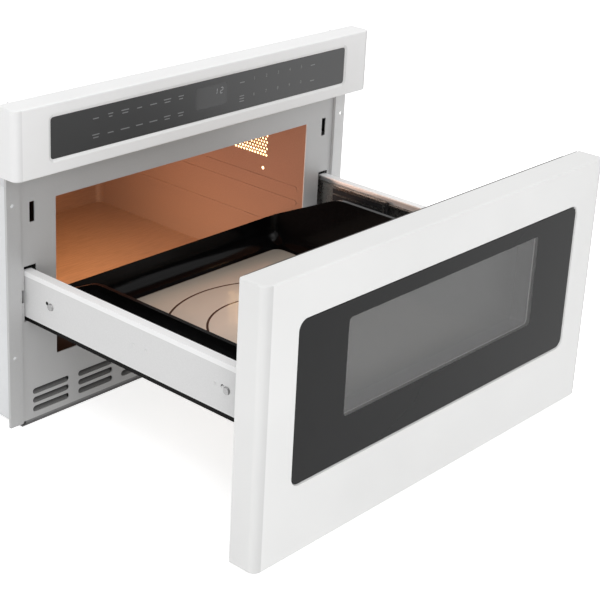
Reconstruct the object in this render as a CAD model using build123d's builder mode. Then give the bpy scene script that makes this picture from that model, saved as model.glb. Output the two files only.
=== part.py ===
"""Built-in microwave drawer, 24 inch class, modelled with its drawer open.

Frame: X to the right, Y to the back, Z up. The origin is on the underside of the base, on the
centre line, in the plane of the front plate's face. All sizes are in millimetres.
"""

import math
import os

from build123d import *

os.makedirs("parts", exist_ok=True)

# ---------------------------------------------------------------- driving dimensions

# Front: door below, control panel above
front_w = 606.4
corner_r = 10.0
edge_r = 2.0
door_lift = 1.0
door_h = 321.0
door_t = 35.8
panel_gap = 2.0
panel_h = 83.0
panel_t = 33.0

# Drawer motion
travel = 370.0
door_seat_gap = 0.7

# Sheet metal
base_t = 1.2
plate_t = 1.2
case_t = 1.0
liner_t = 1.0
skin_t = 1.5

# Front plate and side flanges
plate_half = 274.5
flange_w = 19.5
flange_rise = 3.5
flange_foot = 6.0
flange_leg = 16.0
front_top_drop = 5.0
flange_hole_r = 2.3
flange_hole_zs = (96.0, 286.0)
flange_hole_inset = 8.0
lip_h = 9.0
lip_half = 267.5

# Body
case_depth = 558.0
case_top = 299.5
case_rear_top = 196.0
case_rear_gap = 12.0
roof_slope_y = 285.0
roof_slope = 0.38
hood_half = 60.0
hood_depth = 36.0
hood_top = 346.0

# Microwave feed under the cavity, stacked up from the base
antenna_motor_h = 17.8
guide_h = 26.0
well_h = 7.0

# Cavity
cavity_w = 441.0
cavity_h = 233.0
cavity_depth = 425.0
cavity_corner_r = 11.0
opening_margin = 0.5
opening_sill = 28.0
opening_drop = 4.0
opening_r = 1.0
rib_h = 1.0
rib_w = 7.0
rib_zs = (121.0, 164.0, 184.0)

# Drawer rails
rail_outer = 266.5
rail_w = 11.0
rail_t = 1.2
rail_z0 = 143.0
rail_h = 58.0
rail_tail = 56.0
rail_hole_clear = 1.6
rail_hole_above = 5.0
rail_hole_below = 6.5
rail_hole_inside = 5.5
notch_w = 5.6
notch_h = 16.0
notch_drop = 3.0

# Telescopic slides, inside the rails
slide_t = 1.5
slide_h = 45.0
slide_depth = 12.7
slide_ball_gap = 1.6
slide_side_gap = 1.9
slide_outer_len = 400.0
slide_middle_len = 330.0
slide_middle_front = -115.0
slide_front_inset = 6.0

# Basin and tray
basin_half = 213.0
basin_t = 1.5
basin_rim = 4.0
basin_top = 193.0
basin_back_top = 138.5
basin_back = 47.0
basin_slope_y = -68.0
basin_slope_r = 60.0
basin_corner_r = 16.0
basin_bend_r = 24.0
basin_floor = 98.5
tray_t = 5.0
tray_half = 188.0
tray_back = 15.0
tray_front_gap = 10.0
tray_corner_r = 12.0
tray_ledge = 10.0
seal_w = 3.0
front_lip_h = 12.0

# Door glass and window
glass_w = 502.6
glass_h = 186.4
glass_z0 = 84.7
glass_r = 11.0
glass_t = 4.0
glass_inset = 1.2
glass_bevel = 3.0
glass_clear = 0.4
window_w = 346.0
window_h = 114.0
window_z0 = 137.5
window_r = 5.0
screen_setback = 25.0
screen_t = 0.8
screen_hole_r = 2.2
screen_pitch = 9.0
inner_window_t = 2.0
tunnel_t = 1.0

# Door frame and choke
frame_half = 272.0
frame_t = 1.5
frame_z0 = 12.0
frame_top_drop = 0.6
frame_fold = 12.0
frame_foot_zs = (60.0, 160.0, 260.0)
frame_foot_h = 24.0
choke_half = 249.0
choke_z0 = 62.0
choke_z1 = 300.0
choke_t = 2.2
choke_groove_w = 8.0
choke_groove_d = 1.5

# Latches and interlock switches
latch_x = 255.0
latch_z = 271.5
latch_slot_w = 7.5
latch_slot_h = 25.0
hook_w = 4.5
hook_h = 17.0
hook_reach = 22.0
switch_w = 12.0
switch_h = 18.0
switch_d = 28.0

# Drawer drive: rack under the left rail, pinion and geared motor behind the front plate
gear_module = 1.5
pinion_teeth = 16
pinion_y = 20.0
pinion_w = 7.0
pinion_shaft_r = 3.0
shaft_clear = 0.06
rack_w = 8.0
rack_back_t = 2.4
rack_front = -362.0
rack_tail = 12.0
rack_inset = 4.3
guard_back = -92.0
tooth_addendum = 1.1
tooth_dedendum = 1.6
tooth_backlash = 0.5
pressure_angle = 20.0

# Control panel
bezel_t = 2.2
panel_glass_w = 505.0
panel_glass_h = 49.0
panel_glass_z0 = 341.5
panel_glass_r = 4.0
panel_glass_t = 3.0
panel_bevel = 3.5
foil_t = 0.8
board_t = 1.6
board_w = 470.0
board_h = 40.0
board_setback = 11.0
display_w = 62.0
display_h = 22.0
display_x = 2.0
panel_inset = 1.2
panel_ledge = 3.0
panel_ledge_t = 2.0
panel_ring = 8.0
panel_screw_r = 1.8
panel_boss_r = 4.0
panel_boss_inset = 12.5
passage_half = 40.0

# Lamp
lamp_y = 102.0
lamp_z = 247.0
lamp_box_w = 86.0
lamp_box_h = 62.0
lamp_box_d = 40.0
lamp_bulb_r = 11.0
lamp_bulb_len = 34.0
lamp_base_r = 7.0
perforation_r = 1.7
perforation_pitch = 5.4
perforation_cols = 12
perforation_rows = 9

# Louvres in the front plate
louvre_w = 56.0
louvre_h = 7.6
louvre_pitch = 11.8
louvre_rows = 3
louvre_z0 = 17.5
louvre_group_pitch = 71.0
louvre_first_x = 87.5
louvre_groups_per_side = 3

# Clearance between neighbouring static pieces
fit = 0.3

# ---------------------------------------------------------------- derived levels and planes

door_back_y = -(travel + flange_rise + door_seat_gap)
door_front_y = door_back_y - door_t
door_top = door_lift + door_h
panel_z0 = door_top + panel_gap
panel_top = panel_z0 + panel_h
front_metal_top = panel_top - front_top_drop
flange_outer = plate_half + flange_w
guide_z0 = base_t + antenna_motor_h
well_z0 = guide_z0 + guide_h
cavity_floor = well_z0 + well_h + liner_t
cavity_ceiling = cavity_floor + cavity_h
cavity_half = cavity_w / 2
liner_back = cavity_depth + liner_t
opening_half = cavity_half - opening_margin
opening_z0 = cavity_floor + opening_sill
opening_z1 = cavity_ceiling - opening_drop
case_half = plate_half + plate_t + case_t
rear_y = case_depth - case_t
rail_inner = rail_outer - rail_w
rail_top = rail_z0 + rail_h
rail_mid = rail_z0 + rail_h / 2
frame_back_y = door_back_y + frame_t
choke_back_y = frame_back_y + choke_t
pitch = math.pi * gear_module
pinion_r = gear_module * pinion_teeth / 2
rack_pitch_z = rail_z0 - rack_back_t - tooth_dedendum
pinion_z = rack_pitch_z - pinion_r
pinion_x = -(rail_outer - rail_t - rack_w / 2 - rack_inset)
feed_y = cavity_depth / 2 - 12.0
panel_boss_x = plate_half - panel_boss_inset
panel_screws = [(side * panel_boss_x, panel_z0 + panel_h * f) for side in (-1, 1) for f in (0.22, 0.78)]
passage_zs = (panel_z0 + 4.0, hood_top - case_t - 4.0)


# ---------------------------------------------------------------- helpers


def facing(y):
    """Sketch plane at depth y seen from the front: local x is X, local y is Z, extrusions run forwards."""
    return Plane.XZ.offset(-y)


def block(x, y, z, mode=Mode.ADD):
    """A box between two values on each axis, in either order, added to the part being built."""
    with Locations(((x[0] + x[1]) / 2, (y[0] + y[1]) / 2, (z[0] + z[1]) / 2)):
        Box(abs(x[1] - x[0]), abs(y[1] - y[0]), abs(z[1] - z[0]), mode=mode)


def both(x0, x1):
    """The same band of X on the left and on the right."""
    return ((-x1, -x0), (x0, x1))


def finish(piece, name):
    """Labels a finished piece and writes its STEP file."""
    piece.part.label = name
    export_step(piece.part, f"parts/{name}.step")


# ---------------------------------------------------------------- front plate

with BuildPart() as front_plate:
    block((-plate_half, plate_half), (0, plate_t), (flange_foot, front_metal_top))
    # cavity opening
    with BuildSketch(facing(plate_t)):
        with Locations((0, (opening_z0 + opening_z1) / 2)):
            RectangleRounded(2 * opening_half, opening_z1 - opening_z0, opening_r)
    extrude(amount=plate_t, mode=Mode.SUBTRACT)
    # holes for the drawer rails, each with a notch for the screw heads, and the latch slots
    rail_hole_in = rail_inner - rail_hole_inside
    rail_hole_out = rail_outer + rail_hole_clear
    for band in both(rail_hole_in, rail_hole_out):
        block(band, (0, plate_t), (rail_z0 - rail_hole_below, rail_top + rail_hole_above), Mode.SUBTRACT)
    notch_mid = rail_mid - notch_drop
    notch_zs = (notch_mid - notch_h / 2, notch_mid + notch_h / 2)
    for band in both(rail_hole_out, rail_hole_out + notch_w):
        block(band, (0, plate_t), notch_zs, Mode.SUBTRACT)
    with BuildSketch(facing(plate_t)):
        with Locations((-latch_x, latch_z), (latch_x, latch_z)):
            RectangleRounded(latch_slot_w, latch_slot_h, 1.0)
    extrude(amount=plate_t, mode=Mode.SUBTRACT)
    # louvres
    with BuildSketch(facing(plate_t)):
        for group in range(louvre_groups_per_side):
            x = louvre_first_x + group * louvre_group_pitch
            for row in range(louvre_rows):
                z = louvre_z0 + row * louvre_pitch
                with Locations((-x, z), (x, z)):
                    SlotOverall(louvre_w, louvre_h)
    extrude(amount=plate_t, mode=Mode.SUBTRACT)
    # passage for the control panel's wiring, and holes for the screws that hold the panel
    block((-passage_half, passage_half), (0, plate_t), passage_zs, Mode.SUBTRACT)
    with BuildSketch(facing(plate_t)):
        with Locations(*panel_screws):
            Circle(panel_screw_r)
    extrude(amount=plate_t, mode=Mode.SUBTRACT)
finish(front_plate, "front_plate")


# ---------------------------------------------------------------- side flanges


def side_flange(side):
    """Strip beside the front plate that laps over the cabinet and takes its fixing screws."""
    with BuildPart() as flange:
        with BuildSketch(Plane.XY.offset(flange_foot)):
            with BuildLine():
                Polyline(
                    (side * plate_half, -flange_rise),
                    (side * flange_outer, -flange_rise),
                    (side * flange_outer, 0),
                    (side * (flange_outer - plate_t), 0),
                    (side * (flange_outer - plate_t), plate_t - flange_rise),
                    (side * (plate_half + plate_t), plate_t - flange_rise),
                    (side * (plate_half + plate_t), flange_leg),
                    (side * plate_half, flange_leg),
                    close=True,
                )
            make_face()
        extrude(amount=front_metal_top - flange_foot)
        with BuildSketch(facing(plate_t - flange_rise)):
            for z in flange_hole_zs:
                with Locations((side * (flange_outer - flange_hole_inset), z)):
                    Circle(flange_hole_r)
        extrude(amount=plate_t, mode=Mode.SUBTRACT)
    return flange


finish(side_flange(-1), "side_flange_left")
finish(side_flange(1), "side_flange_right")

# ---------------------------------------------------------------- base pan

pan_half = plate_half - fit
pan_wall_h = 14.0

with BuildPart() as base_pan:
    block((-pan_half, pan_half), (0, rear_y), (0, base_t))
    block((-lip_half, lip_half), (plate_t, plate_t + base_t), (0, lip_h))
    for band in both(pan_half - base_t, pan_half):
        block(band, (plate_t, rear_y), (base_t, base_t + pan_wall_h))
finish(base_pan, "base_pan")

# ---------------------------------------------------------------- outer case

case_front = plate_t
case_step_y = liner_back + case_rear_gap
case_foot = base_t + 1.0
vent_slot_w = 4.0
vent_slot_len = 34.0
vent_count = 12
vent_pitch = 10.0
vent_z = 150.0



def roof_fall(y):
    """How far the roof has dropped at y, behind the point where it starts to fall."""
    return roof_slope * (y - roof_slope_y)


def case_profile(half, front, rear, foot, inset):
    """The casing's side outline as a solid across X: falling roof, step, lower rear roof."""
    step_y = case_step_y - inset
    with BuildPart() as body:
        with BuildSketch(Plane.YZ.offset(-half)):
            with BuildLine():
                Polyline(
                    (front, foot),
                    (front, case_top - inset),
                    (roof_slope_y, case_top - inset),
                    (step_y, case_top - inset - roof_fall(step_y)),
                    (step_y, case_rear_top - inset),
                    (rear, case_rear_top - inset),
                    (rear, foot),
                    close=True,
                )
            make_face()
        extrude(amount=2 * half)
    return body.part


case_outside = case_profile(case_half, case_front, rear_y, case_foot, 0)
case_inside = case_profile(case_half - case_t, case_front - case_t, rear_y + case_t, case_foot - case_t, case_t)

with BuildPart() as outer_case:
    # side walls and roof, open to the front, below and to the rear
    add(case_outside)
    add(case_inside, mode=Mode.SUBTRACT)
    # slits in the roof for the legs of the side flanges
    for band in both(plate_half - fit, plate_half + plate_t):
        block(band, (case_front, flange_leg + fit), (case_top - case_t, case_top), Mode.SUBTRACT)
    # hood over the passage for the control panel's wiring, open to the front and below
    block((-hood_half, hood_half), (case_front, hood_depth), (case_top, hood_top))
    hood_in = hood_half - case_t
    hood_zs = (case_top - case_t, hood_top - case_t)
    block((-hood_in, hood_in), (case_front, hood_depth - case_t), hood_zs, Mode.SUBTRACT)
    vent_y = rear_y - 30.0 - (vent_count - 1) * vent_pitch / 2
    with BuildSketch(Plane.YZ.offset(-case_half)):
        with Locations((vent_y, vent_z)):
            with GridLocations(vent_pitch, 1, vent_count, 1):
                SlotOverall(vent_slot_len, vent_slot_w, rotation=90)
    extrude(amount=2 * case_half, mode=Mode.SUBTRACT)
finish(outer_case, "outer_case")

# ---------------------------------------------------------------- rear panel

rear_half = case_half
rear_vent_x = 165.0
rear_vent_z = 88.0
rear_vent_rows = 9
inlet_x = 232.0
inlet_z = 60.0
inlet_r = 9.0
inlet_flange_r = 13.0
rear_screw_inset = 9.0
rear_screw_r = 1.8

rear_screws = [
    (sx * (rear_half - rear_screw_inset), z)
    for sx in (-1, 1)
    for z in (30.0, case_rear_top / 2, case_rear_top - 30.0)
] + [(sx * rear_half / 3, case_rear_top - rear_screw_inset) for sx in (-1, 1)]

with BuildPart() as rear_panel:
    block((-rear_half, rear_half), (rear_y, case_depth), (base_t / 2, case_rear_top))
    with BuildSketch(facing(case_depth)):
        with Locations((rear_vent_x, rear_vent_z), (-rear_vent_x, rear_vent_z)):
            with GridLocations(1, vent_pitch, 1, rear_vent_rows):
                SlotOverall(2 * vent_slot_len, vent_slot_w)
        with Locations((inlet_x, inlet_z)):
            Circle(inlet_r)
        with Locations(*rear_screws):
            Circle(rear_screw_r)
    extrude(amount=case_t, mode=Mode.SUBTRACT)
finish(rear_panel, "rear_panel")

# ---------------------------------------------------------------- cavity liner

well_r = 84.0
well_rim = 6.0



def cavity_form(half, rear, bottom, top, corner):
    """A box open to the front, with round rear corners and a roof that falls towards the rear."""
    with BuildPart() as body:
        with BuildSketch(Plane.XY.offset(bottom)):
            with BuildLine():
                FilletPolyline((-half, plate_t), (-half, rear), (half, rear), (half, plate_t), radius=corner)
                Line((half, plate_t), (-half, plate_t))
            make_face()
        extrude(amount=top - bottom)
        with BuildSketch(Plane.YZ.offset(-half)):
            with BuildLine():
                Polyline((roof_slope_y, top), (rear, top - roof_fall(rear)), (rear, top), close=True)
            make_face()
        extrude(amount=2 * half, mode=Mode.SUBTRACT)
    return body.part


liner_half = cavity_half + liner_t
cavity_top = cavity_floor + cavity_h
liner_outside = cavity_form(
    liner_half, liner_back, cavity_floor - liner_t, cavity_top + liner_t, cavity_corner_r + liner_t
)
cavity_space = cavity_form(cavity_half, cavity_depth, cavity_floor, cavity_top, cavity_corner_r)

with BuildPart() as cavity_liner:
    add(liner_outside)
    add(cavity_space, mode=Mode.SUBTRACT)
    # pressed guide ribs along both side walls
    rib_len = cavity_depth - 4 * cavity_corner_r
    for z in rib_zs:
        with BuildSketch(Plane.YZ.offset(cavity_half - rib_h)):
            with Locations((plate_t + 2 * cavity_corner_r + rib_len / 2 - cavity_corner_r, z)):
                SlotOverall(rib_len, rib_w)
        extrude(amount=rib_h)
        with BuildSketch(Plane.YZ.offset(-cavity_half)):
            with Locations((plate_t + 2 * cavity_corner_r + rib_len / 2 - cavity_corner_r, z)):
                SlotOverall(rib_len, rib_w)
        extrude(amount=rib_h)
    # round hole over the antenna well, and its seat
    with BuildSketch(Plane.XY.offset(cavity_floor - liner_t)):
        with Locations((0, feed_y)):
            Circle(well_r)
    extrude(amount=liner_t, mode=Mode.SUBTRACT)
    # lamp perforations in the right wall
    with BuildSketch(Plane.YZ.offset(cavity_half)):
        for row in range(perforation_rows):
            shift = (row % 2) * perforation_pitch / 2
            z = lamp_z + (row - (perforation_rows - 1) / 2) * perforation_pitch * 0.87
            for col in range(perforation_cols):
                y = lamp_y + (col - (perforation_cols - 1) / 2) * perforation_pitch + shift
                with Locations((y, z)):
                    Circle(perforation_r)
    extrude(amount=liner_t, mode=Mode.SUBTRACT)
finish(cavity_liner, "cavity_liner")

# ---------------------------------------------------------------- antenna well, cover and waveguide

guide_half = 46.0
guide_t = 1.2
guide_front = feed_y - 60.0
magnetron_w = 80.0
magnetron_d = 70.0
magnetron_h = 84.0
magnetron_gap = 6.0
magnetron_y = liner_back + magnetron_gap + magnetron_d / 2
guide_back = magnetron_y + magnetron_d / 2
feed_hole_r = 18.0
antenna_hole_r = 13.0
cover_t = 1.2

with BuildPart() as antenna_well:
    with BuildSketch(Plane.XY.offset(well_z0)):
        with Locations((0, feed_y)):
            Circle(well_r + well_rim)
    extrude(amount=well_h)
    with BuildSketch(Plane.XY.offset(well_z0 + liner_t)):
        with Locations((0, feed_y)):
            Circle(well_r - well_rim)
    extrude(amount=well_h - liner_t, mode=Mode.SUBTRACT)
    with BuildSketch(Plane.XY.offset(well_z0)):
        with Locations((0, feed_y)):
            Circle(feed_hole_r)
    extrude(amount=liner_t, mode=Mode.SUBTRACT)
finish(antenna_well, "antenna_well")

with BuildPart() as antenna_cover:
    with BuildSketch(Plane.XY.offset(cavity_floor - liner_t)):
        with Locations((0, feed_y)):
            Circle(well_r - fit)
    extrude(amount=cover_t)
    fillet(antenna_cover.edges().group_by(Axis.Z)[-1], 0.4)
finish(antenna_cover, "antenna_cover")

with BuildPart() as waveguide:
    block((-guide_half, guide_half), (guide_front, guide_back), (guide_z0, well_z0))
    guide_in = guide_half - guide_t
    guide_zs = (guide_z0 + guide_t, well_z0 - guide_t)
    block((-guide_in, guide_in), (guide_front + guide_t, guide_back - guide_t), guide_zs, Mode.SUBTRACT)
    with BuildSketch(Plane.XY.offset(guide_z0)):
        with Locations((0, feed_y)):
            Circle(6.0)
    extrude(amount=guide_t, mode=Mode.SUBTRACT)
    with BuildSketch(Plane.XY.offset(well_z0 - guide_t)):
        with Locations((0, feed_y)):
            Circle(feed_hole_r)
        with Locations((0, magnetron_y)):
            Circle(antenna_hole_r)
    extrude(amount=guide_t, mode=Mode.SUBTRACT)
finish(waveguide, "waveguide")

# ---------------------------------------------------------------- rotating antenna and its motor

antenna_r = 62.0
antenna_t = 1.5
antenna_shaft_r = 4.0
motor_r = 25.0
motor_ear_r = 5.0
motor_bore = antenna_shaft_r + shaft_clear

with BuildPart() as stirrer_antenna:
    antenna_z = well_z0 + liner_t + (well_h - liner_t) / 2
    with BuildSketch(Plane.XY.offset(antenna_z)):
        with Locations((0, feed_y)):
            Circle(antenna_r)
            with PolarLocations(antenna_r * 0.62, 3):
                SlotOverall(38, 8, rotation=90, mode=Mode.SUBTRACT)
    extrude(amount=antenna_t)
    with BuildSketch(Plane.XY.offset(guide_z0 - antenna_motor_h / 2)):
        with Locations((0, feed_y)):
            Circle(antenna_shaft_r)
    extrude(amount=antenna_z - guide_z0 + antenna_motor_h / 2)
finish(stirrer_antenna, "stirrer_antenna")

with BuildPart() as antenna_motor:
    with BuildSketch(Plane.XY.offset(base_t)):
        with Locations((0, feed_y)):
            Circle(motor_r)
            SlotOverall(2 * (motor_r + 3 * motor_ear_r), 2 * motor_ear_r)
    extrude(amount=antenna_motor_h)
    with BuildSketch(Plane.XY.offset(guide_z0 - antenna_motor_h / 2 - fit)):
        with Locations((0, feed_y)):
            Circle(motor_bore)
    extrude(amount=antenna_motor_h / 2 + fit, mode=Mode.SUBTRACT)
finish(antenna_motor, "antenna_motor")

# ---------------------------------------------------------------- magnetron

yoke_t = 3.0
yoke_front = magnetron_y - magnetron_d / 2
yoke_back = magnetron_y + magnetron_d / 2
yoke_top = well_z0 + magnetron_h
anode_r = 20.0
dome_r = 8.0
dome_len = 15.0
fin_t = 1.0
fin_count = 7
fin_gap = 7.0
fin_half = magnetron_d / 2 - yoke_t - 2.0
filter_h = 36.0

with BuildPart() as magnetron_yoke:
    block((-magnetron_w / 2, magnetron_w / 2), (yoke_front, yoke_back), (well_z0, yoke_top))
    inner_y = (yoke_front + yoke_t, yoke_back - yoke_t)
    block((-magnetron_w / 2, magnetron_w / 2), inner_y, (well_z0 + yoke_t, yoke_top - yoke_t), Mode.SUBTRACT)
    with BuildSketch(Plane.XY.offset(well_z0)):
        with Locations((0, magnetron_y)):
            Circle(dome_r + fit)
    extrude(amount=yoke_t, mode=Mode.SUBTRACT)
finish(magnetron_yoke, "magnetron_yoke")

with BuildPart() as magnetron_anode:
    with BuildSketch(Plane.XY.offset(well_z0 + yoke_t)):
        with Locations((0, magnetron_y)):
            Circle(anode_r)
    extrude(amount=magnetron_h - 2 * yoke_t)
    with BuildSketch(Plane.XY.offset(well_z0 - dome_len)):
        with Locations((0, magnetron_y)):
            Circle(dome_r)
    extrude(amount=dome_len + yoke_t)
    fins_z0 = well_z0 + magnetron_h / 2 - (fin_count - 1) * fin_gap / 2
    for k in range(fin_count):
        z = fins_z0 + k * fin_gap
        block((-fin_half, fin_half), (magnetron_y - fin_half, magnetron_y + fin_half), (z, z + fin_t))
finish(magnetron_anode, "magnetron_anode")

with BuildPart() as magnetron_filter_box:
    box_half = magnetron_w / 2 - 8.0
    box_y = (magnetron_y - box_half, magnetron_y + box_half)
    block((-box_half, box_half), box_y, (yoke_top, yoke_top + filter_h))
    fillet(magnetron_filter_box.edges().filter_by(Axis.Z), 5.0)
finish(magnetron_filter_box, "magnetron_filter_box")

# ---------------------------------------------------------------- high voltage parts

transformer_x = -165.0
transformer_y = 492.0
core_w = 104.0
core_d = 60.0
core_h = 88.0
core_leg = 18.0
coil_bulge = 14.0
coil_gap = 3.0

with BuildPart() as hv_transformer_core:
    core_x = (transformer_x - core_w / 2, transformer_x + core_w / 2)
    core_y = (transformer_y - core_d / 2, transformer_y + core_d / 2)
    block(core_x, core_y, (base_t, base_t + core_h))
    window_zs = (base_t + core_leg, base_t + core_h - core_leg)
    window_wide = (core_w - 4 * core_leg) / 2
    for side in (-1, 1):
        inner = transformer_x + side * core_leg
        block((inner, inner + side * window_wide), core_y, window_zs, Mode.SUBTRACT)
finish(hv_transformer_core, "hv_transformer_core")

with BuildPart() as hv_transformer_coils:
    coil_h = (core_h - 2 * core_leg - 3 * coil_gap) / 2
    for level in range(2):
        z0 = base_t + core_leg + coil_gap + level * (coil_h + coil_gap)
        with BuildSketch(Plane.XY.offset(z0)):
            with Locations((transformer_x, transformer_y)):
                RectangleRounded(
                    2 * (core_leg + window_wide - fit),
                    core_d + 2 * coil_bulge,
                    coil_bulge - fit,
                )
                Rectangle(2 * (core_leg + fit), core_d + 2 * fit, mode=Mode.SUBTRACT)
        extrude(amount=coil_h)
finish(hv_transformer_coils, "hv_transformer_coils")

capacitor_x = -80.0
capacitor_w = 54.0
capacitor_d = 34.0
capacitor_h = 92.0
diode_h = 8.0

with BuildPart() as hv_capacitor:
    with BuildSketch(Plane.XY.offset(base_t)):
        with Locations((capacitor_x, transformer_y)):
            SlotOverall(capacitor_w, capacitor_d, rotation=90)
    extrude(amount=capacitor_h)
    fillet(hv_capacitor.edges().group_by(Axis.Z)[-1], 2.0)
    for side in (-1, 1):
        with BuildSketch(Plane.XY.offset(base_t + capacitor_h)):
            with Locations((capacitor_x, transformer_y + side * capacitor_w / 5)):
                Circle(4.0)
        extrude(amount=6.0)
finish(hv_capacitor, "hv_capacitor")

with BuildPart() as hv_diode:
    diode_y = transformer_y - capacitor_w
    with BuildSketch(Plane.XY.offset(base_t)):
        with Locations((capacitor_x, diode_y)):
            SlotOverall(26.0, diode_h)
    extrude(amount=diode_h)
finish(hv_diode, "hv_diode")

# ---------------------------------------------------------------- cooling fan and air duct

fan_x = 165.0
fan_z = 88.0
fan_r = 60.0
fan_front = 442.0
fan_w = 58.0
fan_t = 1.5
fan_inlet_r = 34.0
wheel_r = 44.0
wheel_hub_r = 9.0
wheel_clear = 5.0
blade_count = 20
blade_t = 1.4
blade_len = 11.0
fan_motor_r = 27.0
fan_motor_len = 40.0
fan_shaft_r = 3.0
outlet_h = 46.0
fan_back = fan_front + fan_w
outlet_x = fan_x - fan_r - 12.0
outlet_zs = (fan_z - fan_r, fan_z - fan_r + outlet_h)

with BuildPart() as fan_housing:
    with BuildSketch(facing(fan_back)):
        with Locations((fan_x, fan_z)):
            Circle(fan_r)
        with Locations(((outlet_x + fan_x) / 2, sum(outlet_zs) / 2)):
            Rectangle(fan_x - outlet_x, outlet_h)
    extrude(amount=fan_w)
    with BuildSketch(facing(fan_back - fan_t)):
        with Locations((fan_x, fan_z)):
            Circle(fan_r - fan_t)
        with Locations(((outlet_x + fan_x) / 2, sum(outlet_zs) / 2)):
            Rectangle(fan_x - outlet_x, outlet_h - 2 * fan_t)
    extrude(amount=fan_w - 2 * fan_t, mode=Mode.SUBTRACT)
    with BuildSketch(facing(fan_front + fan_t)):
        with Locations((fan_x, fan_z)):
            Circle(fan_inlet_r)
    extrude(amount=fan_t, mode=Mode.SUBTRACT)
    with BuildSketch(facing(fan_back)):
        with Locations((fan_x, fan_z)):
            Circle(fan_shaft_r + 2.0)
    extrude(amount=fan_t, mode=Mode.SUBTRACT)
    # feet down to the base
    for side in (-1, 1):
        foot_x = fan_x + side * fan_r / 2
        foot_top = fan_z - math.sqrt(fan_r**2 - (fan_r / 2 - 4.0) ** 2) + fan_t / 2
        block((foot_x - 4.0, foot_x + 4.0), (fan_front + 8.0, fan_back - 8.0), (base_t, foot_top))
finish(fan_housing, "fan_housing")

wheel_front = fan_front + fan_t + wheel_clear
wheel_back = fan_back - fan_t - wheel_clear

with BuildPart() as fan_wheel:
    with BuildSketch(facing(wheel_back)):
        with Locations((fan_x, fan_z)):
            Circle(wheel_r)
    extrude(amount=2.0)
    with BuildSketch(facing(wheel_back)):
        with Locations((fan_x, fan_z)):
            Circle(wheel_hub_r)
    extrude(amount=(wheel_back - wheel_front) * 0.6)
    with BuildSketch(facing(wheel_front + 2.0)):
        with Locations((fan_x, fan_z)):
            Circle(wheel_r)
            Circle(wheel_r - blade_len, mode=Mode.SUBTRACT)
    extrude(amount=2.0)
    with BuildSketch(facing(wheel_back - 2.0)):
        with Locations((fan_x, fan_z)):
            with PolarLocations(wheel_r - blade_len / 2, blade_count):
                Rectangle(blade_len - 1.0, blade_t, rotation=30)
    extrude(amount=wheel_back - wheel_front - 4.0)
    # the shaft that enters the motor
    with BuildSketch(facing(fan_back + fan_motor_len / 2)):
        with Locations((fan_x, fan_z)):
            Circle(fan_shaft_r)
    extrude(amount=fan_back + fan_motor_len / 2 - wheel_back)
finish(fan_wheel, "fan_wheel")

with BuildPart() as fan_motor:
    with BuildSketch(facing(fan_back + fan_motor_len)):
        with Locations((fan_x, fan_z)):
            Circle(fan_motor_r)
    extrude(amount=fan_motor_len)
    fillet(fan_motor.edges().group_by(Axis.Y)[-1], 4.0)
    with BuildSketch(facing(fan_back + fan_motor_len / 2 + fit)):
        with Locations((fan_x, fan_z)):
            Circle(fan_shaft_r + shaft_clear)
    extrude(amount=fan_motor_len / 2 + fit, mode=Mode.SUBTRACT)
finish(fan_motor, "fan_motor")

duct_x0 = guide_half + fit

with BuildPart() as air_duct:
    duct_x = (duct_x0, outlet_x - fit)
    duct_y = (fan_front, fan_back)
    block(duct_x, duct_y, outlet_zs)
    block(
        duct_x,
        (duct_y[0] + fan_t, duct_y[1] - fan_t),
        (outlet_zs[0] + fan_t, outlet_zs[1] - fan_t),
        Mode.SUBTRACT,
    )
finish(air_duct, "air_duct")

# ---------------------------------------------------------------- mains filter board, cut-outs and inlet

filter_x = -165.0
filter_z = 150.0
filter_board_w = 120.0
filter_board_h = 80.0
standoff = 7.0

with BuildPart() as mains_filter_board:
    board_y = rear_y - standoff - board_t
    block(
        (filter_x - filter_board_w / 2, filter_x + filter_board_w / 2),
        (board_y, board_y + board_t),
        (filter_z - filter_board_h / 2, filter_z + filter_board_h / 2),
    )
    with BuildSketch(facing(rear_y)):
        with Locations((filter_x, filter_z)):
            with GridLocations(filter_board_w - 12.0, filter_board_h - 12.0, 2, 2):
                Circle(3.0)
    extrude(amount=standoff)
    # choke coil, two capacitors and a relay on the board
    with BuildSketch(facing(board_y)):
        with Locations((filter_x - 30.0, filter_z + 10.0)):
            Circle(15.0)
            Circle(6.0, mode=Mode.SUBTRACT)
    extrude(amount=14.0)
    block((filter_x, filter_x + 26.0), (board_y - 18.0, board_y), (filter_z + 4.0, filter_z + 26.0))
    block((filter_x + 2.0, filter_x + 20.0), (board_y - 14.0, board_y), (filter_z - 28.0, filter_z - 6.0))
finish(mains_filter_board, "mains_filter_board")

cutout_x = 90.0
cutout_z = 200.0
cutout_r = 8.0
cutout_tab_l = 30.0
cutout_tab_w = 9.0
cutout_h = 7.0

with BuildPart() as thermal_cutouts:
    with BuildSketch(facing(liner_back + cutout_h)):
        with Locations((-cutout_x, cutout_z), (cutout_x, cutout_z)):
            Circle(cutout_r)
            SlotOverall(cutout_tab_l, cutout_tab_w)
    extrude(amount=cutout_h)
finish(thermal_cutouts, "thermal_cutouts")

with BuildPart() as power_inlet:
    with BuildSketch(facing(case_depth + 4.0)):
        with Locations((inlet_x, inlet_z)):
            Circle(inlet_flange_r)
    extrude(amount=4.0)
    with BuildSketch(facing(case_depth)):
        with Locations((inlet_x, inlet_z)):
            Circle(inlet_r - fit / 2)
    extrude(amount=case_t + 10.0)
    fillet(power_inlet.edges().group_by(Axis.Y)[-1], 1.5)
    with BuildSketch(facing(case_depth + 4.0)):
        with Locations((inlet_x, inlet_z)):
            Circle(inlet_r / 2)
    extrude(amount=case_t + 14.0, mode=Mode.SUBTRACT)
finish(power_inlet, "power_inlet")

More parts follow.
